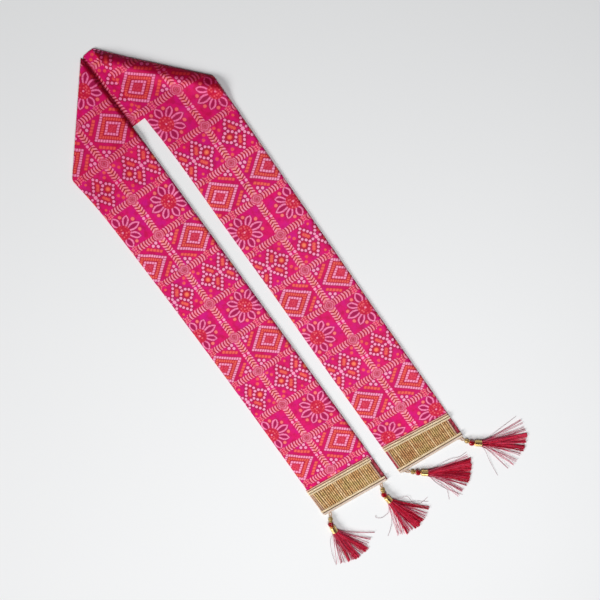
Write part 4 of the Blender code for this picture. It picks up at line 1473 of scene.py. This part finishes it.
def thread_loop(tassel, start):
    """A twisted loop of gold thread, and the stitches that tie it to the hem."""
    along = heading(tassel.bead_angle)
    side = (-along[1], along[0])
    half = tassel.loop / 2
    paths = []
    for ply in range(2):
        path = []
        for index in range(LOOP_POINTS + 1):
            turn = 2 * math.pi * index / LOOP_POINTS
            twist = turn * LOOP_TWISTS + math.pi * ply
            reach = PLY_REACH * math.cos(twist)
            forward = half + (half - 0.5 + reach) * math.cos(turn)
            beside = (LOOP_HALF_WIDTH + reach) * math.sin(turn)
            spot = move(move(start, along, forward), side, beside)
            middle = mix(STRIP_THICK / 2, FILIGREE_RADIUS, forward / tassel.loop)
            path.append((*spot, middle + PLY_REACH * math.sin(twist), PLY_RADIUS))
        paths.append(path)
    for lean in (-2.4, -0.6, 1.5):
        near = move(move(start, along, -2.6), side, lean * 1.2)
        crown = move(move(start, along, -0.6), side, lean * 0.7)
        far = move(move(start, along, 1.1), side, lean * 0.35)
        paths.append([(*near, STRIP_THICK + 0.9, 0.26), (*crown, STRIP_THICK + 0.4, 0.3),
                      (*far, STRIP_THICK / 2 + 0.5, 0.28)])
    made = tubes("thread_loop_" + tassel.name, paths, LOOP_GOLD)
    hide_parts("loop_" + tassel.name)


def grain(distance, radius, angle):
    """One small ball on the filigree bead."""
    mesh = bmesh.new()
    bmesh.ops.create_icosphere(mesh, subdivisions=1, radius=GRAIN_RADIUS)
    bmesh.ops.translate(mesh, verts=mesh.verts,
                        vec=(distance, radius * math.cos(angle) * 0.97,
                             radius * math.sin(angle) * 0.97))
    return mesh


def filigree_bead(tassel, start):
    """A barrel with a wire rim at each end and round its waist, covered with rings of grains."""
    half = FILIGREE_LENGTH / 2
    parts = [spun([(0.5, 0.0), (0.5, 1.6), (1.5, 2.7), (half, 3.2), (2 * half - 1.5, 2.7),
                   (2 * half - 0.5, 1.6), (2 * half - 0.5, 0.0)], 16)]
    for rim, radius in ((0.45, 2.1), (2 * half - 0.45, 2.1), (half, 3.4)):
        parts.append(spun([(rim - 0.35, radius - 0.3), (rim - 0.2, radius), (rim + 0.2, radius),
                           (rim + 0.35, radius - 0.3), (rim - 0.35, radius - 0.3)], 20))
    for index in range(GRAINS_ROUND):
        turn = 2 * math.pi * index / GRAINS_ROUND
        for distance, radius in GRAIN_RINGS:
            sway = GRAIN_SWAY if distance < half else -GRAIN_SWAY
            parts.append(grain(distance, radius, turn if distance == half else turn + sway))
    mesh = laid_down(joined(parts), start, tassel.bead_angle, FILIGREE_RADIUS + SWELL_LIFT)
    made = finished(mesh, "filigree_" + tassel.name, FILIGREE_GOLD, 40.0)
    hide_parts("filigree_bead_" + tassel.name)


def glass_bead(tassel, middle):
    """A faceted ball with flat ends, and the gold rim on either side of it."""
    mesh = bmesh.new()
    bmesh.ops.create_uvsphere(mesh, u_segments=9, v_segments=6, radius=GLASS_RADIUS * GLASS_SWELL)
    bmesh.ops.rotate(mesh, verts=mesh.verts, cent=(0, 0, 0),
                     matrix=Matrix.Rotation(math.pi / 2, 3, "Y"))
    bmesh.ops.scale(mesh, verts=mesh.verts, vec=(0.98, 1.0, 1.0))
    bmesh.ops.bevel(mesh, geom=mesh.edges[:], offset=0.18, offset_type="OFFSET", segments=1,
                    profile=0.5, material=-1, affect="EDGES", clamp_overlap=True)
    laid_down(mesh, middle, tassel.bead_angle, GLASS_RADIUS + SWELL_LIFT)
    made = finished(mesh, "glass_" + tassel.name, RED_GLASS, 5.0)
    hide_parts("glass_bead_" + tassel.name)
    rims = []
    for side in (-1, 1):
        near = side * (GLASS_LENGTH / 2 - 0.25)
        far = side * (GLASS_LENGTH / 2 + 0.3)
        rims.append(spun([(near, 1.9), (near, 2.4), (mix(near, far, 0.5), 2.5), (far, 2.2),
                          (far, 1.0), (near, 1.9)], 20))
    mesh = laid_down(joined(rims), middle, tassel.bead_angle, GLASS_RADIUS + SWELL_LIFT)
    finished(mesh, "bead_rims_" + tassel.name, CAP_GOLD, 40.0)


def tassel_cap(tassel, start):
    """A fluted tube with a rounded neck and a flared lip; the silk comes out of it."""
    profile = [(0.0, 0.0), (0.0, 2.8), (0.3, 3.9), (0.7, 4.5), (1.0, 4.8), (2.2, 4.95),
               (4.0, 5.0), (6.0, 5.0), (8.0, 5.0), (9.0, 5.05), (9.6, 5.1), (CAP_LENGTH, 4.9),
               (CAP_LENGTH, 4.5), (9.0, 4.2), (7.4, 3.8), (7.4, 0.0)]
    mesh = spun(profile, 96, fluted=True)
    laid_down(mesh, start, tassel.cap_angle, CAP_RADIUS + CAP_LIFT)
    made = finished(mesh, "cap_of_" + tassel.name, CAP_GOLD, 50.0)
    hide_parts("cap_" + tassel.name)


def build_beads(tassel):
    """Everything from the hem to the cap; returns the middle of the cap's mouth."""
    bead_line = heading(tassel.bead_angle)
    cap_line = heading(tassel.cap_angle)
    spot = move((tassel.tie_x, hem_y(tassel.arm, tassel.tie_x)), bead_line, TIE_CLEARANCE)
    thread_loop(tassel, spot)
    spot = move(spot, bead_line, tassel.loop + BEAD_GAP)
    filigree_bead(tassel, spot)
    spot = move(spot, bead_line, FILIGREE_LENGTH + BEAD_GAP + GLASS_LENGTH / 2)
    glass_bead(tassel, spot)
    spot = move(spot, cap_line, GLASS_RADIUS + BEAD_GAP)
    tassel_cap(tassel, spot)
    return move(spot, cap_line, CAP_LENGTH)


mouths = {tassel.name: build_beads(tassel) for tassel in TASSELS}


# ---------------------------------------------------------------------------------------------
# The silk skirts of the tassels
# Some 370 to 490 glossy crimson threads come out of each cap and fan out over the surface.
# Most cling together in dense clumps that lie on each other; between them a few lie loose, and
# single strays stick out. They are cut off nearly even.
# ---------------------------------------------------------------------------------------------

THREAD_RADIUS = 0.2
THREAD_POINTS = 13
THREAD_TAPER = 0.2             # a thread's tip is thinner by this share
LOOSE_THICKER = 1.4            # a loose thread is fluffed up by this much
STRAY_RADIUS = 0.24
STRAY_STEPS = 6
MOUTH_DEPTH = 2.0              # the threads start this far inside the cap
MOUTH_REACH = 4.2              # how far from the cap's middle they come out
CLUMP = 9                      # this many threads cling together, and end together
CLUMP_WIDTH = 1.3              # a thread strays this far from the middle of its clump
TIP_HEIGHTS = (0.4, 2.6)       # lowest and highest over the surface
Lock = namedtuple("Lock", "x y threads spread loose", defaults=[False])

# Where each lock's tips lie, how many threads it has, how far its tips spread either way, and
# whether its threads lie loose, so that the surface shows between them
LOCKS = {
    "left_outer": [
        Lock(-147.5, -80.5, 11, 8.0, True), Lock(-134.5, -84.0, 40, 3.0),
        Lock(-129.0, -84.5, 13, 6.0, True), Lock(-121.0, -86.0, 190, 6.2),
        Lock(-112.5, -84.5, 12, 6.0, True), Lock(-102.0, -83.5, 84, 5.2),
        Lock(-94.0, -79.5, 8, 5.0, True), Lock(-85.5, -71.5, 6, 2.0, True),
        Lock(-75.5, -65.0, 3, 0.4, True),
    ],
    "left_inner": [
        Lock(-44.0, -91.5, 10, 7.0, True), Lock(-34.5, -95.0, 34, 2.6),
        Lock(-28.0, -94.0, 15, 5.0, True), Lock(-14.5, -94.5, 210, 8.2),
        Lock(-4.0, -90.5, 84, 4.6), Lock(5.5, -86.0, 13, 6.0, True), Lock(15.0, -78.5, 40, 3.4),
    ],
    "right_inner": [
        Lock(110.0, -46.5, 40, 3.2), Lock(107.0, -52.5, 110, 5.6), Lock(102.5, -59.5, 110, 5.6),
        Lock(97.0, -66.5, 110, 5.6), Lock(91.0, -72.5, 90, 4.6), Lock(84.5, -77.5, 10, 4.0, True),
        Lock(73.0, -82.0, 9, 3.4, True), Lock(64.0, -86.0, 3, 4.0, True),
        Lock(109.0, -39.5, 4, 3.0, True),
    ],
    "right_outer": [
        Lock(205.0, -38.5, 6, 4.0, True), Lock(202.0, -50.0, 8, 5.6, True),
        Lock(199.0, -60.0, 170, 5.0), Lock(192.5, -68.5, 80, 4.2), Lock(185.5, -75.5, 170, 5.2),
        Lock(175.0, -81.0, 7, 5.0, True), Lock(161.0, -87.0, 8, 6.5, True),
        Lock(149.0, -91.0, 2, 1.0, True),
    ],
}

# Single strays, from the cap on: (x, y, z) of each bend
STRAYS = {
    "left_outer": [[(-138.0, -38.0, 3.0), (-149.0, -58.0, 1.2), (-155.0, -78.0, 0.4)]],
    "left_inner": [
        [(-36.0, -52.0, 2.4), (-46.0, -68.0, 1.4), (-62.0, -82.0, 0.4)],
        [(-38.0, -48.0, 2.6), (-46.0, -51.0, 2.0), (-54.0, -51.0, 1.2), (-60.0, -46.0, 0.8),
         (-58.0, -43.0, 0.5)],
        [(-10.0, -40.0, 3.0), (-1.0, -44.0, 2.0), (0.0, -56.0, 1.2), (9.0, -64.0, 0.8),
         (23.0, -62.0, 0.4)],
        [(-8.0, -50.0, 2.4), (6.0, -58.0, 1.2), (20.0, -68.5, 0.4)],
    ],
    "right_inner": [
        [(47.0, -46.0, 3.0), (52.0, -60.0, 1.6), (54.0, -68.0, 1.0), (48.0, -83.5, 0.4)],
        [(60.0, -27.0, 3.2), (84.0, -29.0, 1.6), (98.0, -34.0, 1.0), (111.0, -33.5, 0.4)],
        [(47.0, -50.0, 2.0), (55.0, -68.0, 1.0), (69.0, -88.0, 0.4)],
    ],
    "right_outer": [
        [(156.0, -31.0, 2.6), (180.0, -29.0, 1.2), (202.0, -27.0, 0.4)],
        [(135.0, -48.0, 2.4), (132.0, -64.0, 1.2), (129.0, -91.0, 0.4)],
    ],
}


def tassel_silk(name, deep, mid, light, glint):
    """Glossy thread: each has its own tone, at random, and painted glints come and go along it."""
    made, shader, wire = new_material(name, 0.36, specular_ior_level=0.3, sheen_weight=0.2,
                                      sheen_roughness=0.35, sheen_tint=(1.0, 0.35, 0.5, 1.0))
    spot = wire.in_millimetres()
    tone = wire.attribute("tone")
    fibre = spot.noise(0.55, detail=3.0, roughness=0.7)
    colour = tone.below(0.34, 0.14).blend(mid, deep)
    colour = tone.above(0.72, 0.12).over(colour, light)
    # Painted glints that come and go along each thread
    colour = (fibre.above(0.6, 0.1) * 0.5).over(colour, glint)
    connect(made, shader, base_color=colour, roughness=fibre * 0.2 + 0.28)
    return made


TASSEL_SILK = tassel_silk("tassel_silk", ink(112, 0, 22), ink(216, 10, 52), ink(250, 88, 122),
                          ink(250, 98, 130))
SPARSE_SILK = tassel_silk("sparse_silk", ink(166, 42, 76), ink(202, 74, 104), ink(230, 118, 144),
                          ink(228, 122, 146))
STRAY_SILK = tassel_silk("stray_silk", ink(150, 110, 118), ink(176, 128, 138), ink(196, 150, 158),
                         ink(190, 140, 150))


def thread_path(root, pull, tip, rng):
    """One thread: a bent line from its root, pulled along the cap, down to its tip."""
    wave = rng.uniform(0.1, 0.6)
    phase = rng.uniform(0.0, 6.28)
    turns = rng.uniform(1.2, 2.6)
    run = (tip[0] - root[0], tip[1] - root[1])
    size = math.hypot(*run)
    side = (-run[1] / size, run[0] / size)
    path = []
    for index in range(THREAD_POINTS):
        t = index / (THREAD_POINTS - 1)
        x, y, z = ((1 - t) ** 2 * a + 2 * t * (1 - t) * b + t * t * c
                   for a, b, c in zip(root, pull, tip))
        sway = wave * t * math.sin(turns * math.pi * t + phase)
        thin = THREAD_RADIUS * (1.0 - THREAD_TAPER * t)
        path.append((x + side[0] * sway, y + side[1] * sway, max(z, thin + 0.05), thin))
    return path


def stray_path(root, bends):
    """A smooth thread through a few bends."""
    points = [root, *bends]
    path = []
    for index in range(len(points) - 1):
        before = points[max(index - 1, 0)]
        low = points[index]
        high = points[index + 1]
        after = points[min(index + 2, len(points) - 1)]
        for step in range(STRAY_STEPS):
            t = step / STRAY_STEPS
            path.append(tuple(
                0.5 * (2 * b + (c - a) * t + (2 * a - 5 * b + 4 * c - d) * t * t
                       + (3 * b - a - 3 * c + d) * t ** 3)
                for a, b, c, d in zip(before, low, high, after)) + (STRAY_RADIUS,))
    path.append((*points[-1], THREAD_RADIUS))
    return path


def lock_threads(tassel, lock, mouth, rng):
    """The paths and tones of one lock's threads, which are in clumps unless it is loose."""
    along = heading(tassel.cap_angle)
    side = (-along[1], along[0])
    start = move(mouth, along, -MOUTH_DEPTH)
    out = (lock.x - mouth[0], lock.y - mouth[1])
    length = math.hypot(*out)
    out = (out[0] / length, out[1] / length)
    across = (-out[1], out[0])
    lean = out[0] * side[0] + out[1] * side[1]
    clumps = [(rng.triangular(-1.1, 1.1, 0.0) * lock.spread,
               rng.triangular(-tassel.ragged, 1.2, 0.0), rng.random())
              for _ in range(lock.threads // CLUMP + 1)]
    paths = []
    tones = []
    for index in range(lock.threads):
        turn = rng.uniform(0.0, 2 * math.pi)
        reach = MOUTH_REACH * math.sqrt(rng.random())
        beside = reach * math.cos(turn) * 0.75 + 4.0 * lean
        beside = min(max(beside, -MOUTH_REACH), MOUTH_REACH)
        root = (*move(start, side, beside), CAP_RADIUS + reach * math.sin(turn) * 0.85)
        middle, cut_short, streak = clumps[index % len(clumps)]
        slip = middle + rng.triangular(-CLUMP_WIDTH, CLUMP_WIDTH, 0.0)
        if lock.loose:
            slip = rng.uniform(-1.0, 1.0) * lock.spread
        cut_short += rng.uniform(-1.2, 0.4)
        tip = move(move((lock.x, lock.y), across, slip), out, cut_short)
        pull = move(root, along, length * rng.uniform(0.12, 0.26))
        pull = move(pull, side, slip * 0.25 + lean * 3.0 + beside * tassel.flare)
        height = rng.uniform(*TIP_HEIGHTS)
        path = thread_path(root, (*pull, root[2] * 0.7), (*tip, height), rng)
        if lock.loose:
            path = [(x, y, z, thin * LOOSE_THICKER) for x, y, z, thin in path]
        else:
            tones.append(mix(streak, rng.random(), 0.2))
        paths.append(path)
    return paths, tones


def build_skirt(tassel, mouth, rng):
    dense_paths = []
    dense_tones = []
    loose_paths = []
    for lock in LOCKS[tassel.name]:
        paths, tones = lock_threads(tassel, lock, mouth, rng)
        if lock.loose:
            loose_paths += paths
        else:
            dense_paths += paths
            dense_tones += tones
    made = tubes("silk_skirt_" + tassel.name, dense_paths, TASSEL_SILK, 4,
                 dense_tones)
    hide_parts("skirt_" + tassel.name)
    tubes("sparse_threads_" + tassel.name, loose_paths, SPARSE_SILK, 4,
          [rng.random() for _ in loose_paths])
    start = move(mouth, heading(tassel.cap_angle), -MOUTH_DEPTH)
    strays = [stray_path((*start, CAP_RADIUS), bends) for bends in STRAYS[tassel.name]]
    tubes("stray_threads_" + tassel.name, strays, STRAY_SILK, 4)


skirt_rng = random.Random(41)
for tassel in TASSELS:
    build_skirt(tassel, mouths[tassel.name], skirt_rng)


# ---------------------------------------------------------------------------------------------
# The floor, the light and the camera
# A plain pale surface, a large soft light from the left arm's side, a small one overhead, and
# a faint even sky. The camera looks almost straight down.
# ---------------------------------------------------------------------------------------------

FLOOR_HALF = 3.0
FLOOR_DROP = 0.15              # the floor lies this far under the cloth, to part their faces


def pale_floor():
    made, shader, wire = new_material("pale_floor", 0.85, specular_ior_level=0.1)
    spot = wire.node("ShaderNodeTexCoord", {}, {}, output="Object")
    tooth = spot.noise(900.0, detail=2.0)
    cloud = spot.noise(2.0, detail=1.0)
    shade = tooth * 0.3 + cloud * 0.7
    connect(made, shader, base_color=shade.blend(ink(236, 237, 238), ink(240, 241, 242)))
    return made


floor_mesh = bmesh.new()
bmesh.ops.create_grid(floor_mesh, x_segments=1, y_segments=1, size=FLOOR_HALF)
bmesh.ops.translate(floor_mesh, verts=floor_mesh.verts, vec=(0, 0, -FLOOR_DROP * MM))
floor_data = bpy.data.meshes.new("floor")
floor_mesh.to_mesh(floor_data)
floor_mesh.free()
floor_data.materials.append(pale_floor())
floor = bpy.data.objects.new("floor", floor_data)
bpy.context.collection.objects.link(floor)

SKY = (0.93, 0.96, 1.0, 1.0)
SKY_STRENGTH = 0.1
LENS = 60.0                    # for a sensor 36 mm wide
CAMERA_PLACE = (267.5, 538.0, 1411.5)
CAMERA_AIM = (38.5, 297.9, 0.0)
VIEW_UP = 55.17                # heading of the view's upward direction over the floor


def facing(place, target, up_heading):
    """A matrix for an object at place whose -z looks at the target."""
    back = (place - target).normalized()
    right = Vector((*heading(up_heading), 0.0)).cross(back).normalized()
    up = back.cross(right)
    turn = Matrix((right, up, back)).transposed().to_4x4()
    return Matrix.Translation(place) @ turn


def area_light(name, place, target, size, energy, tint):
    light = bpy.data.lights.new(name, "AREA")
    light.shape = "DISK"
    light.size = size
    light.energy = energy
    light.color = tint
    made = bpy.data.objects.new(name, light)
    made.matrix_world = facing(at(*place), at(*target), 90.0)
    bpy.context.collection.objects.link(made)


area_light("key", (-4435.0, 20.0, 3084.0), (380.0, 160.0, 0.0), 2.6, 240.0, (1.0, 0.99, 0.98))
area_light("overhead", (25.0, -160.0, 1440.0), (260.0, 60.0, 0.0), 0.7, 11.6, (1.0, 1.0, 1.0))

world = bpy.data.worlds.new("studio")
bpy.context.scene.world = world
world.use_nodes = True
sky = world.node_tree.nodes["Background"]
sky.inputs["Color"].default_value = SKY
sky.inputs["Strength"].default_value = SKY_STRENGTH

lens = bpy.data.cameras.new("camera")
lens.lens = LENS
lens.clip_start = 0.05
camera = bpy.data.objects.new("camera", lens)
camera.matrix_world = facing(at(*CAMERA_PLACE), at(*CAMERA_AIM), VIEW_UP)
bpy.context.collection.objects.link(camera)
bpy.context.scene.camera = camera
bpy.context.scene.view_settings.view_transform = "Standard"
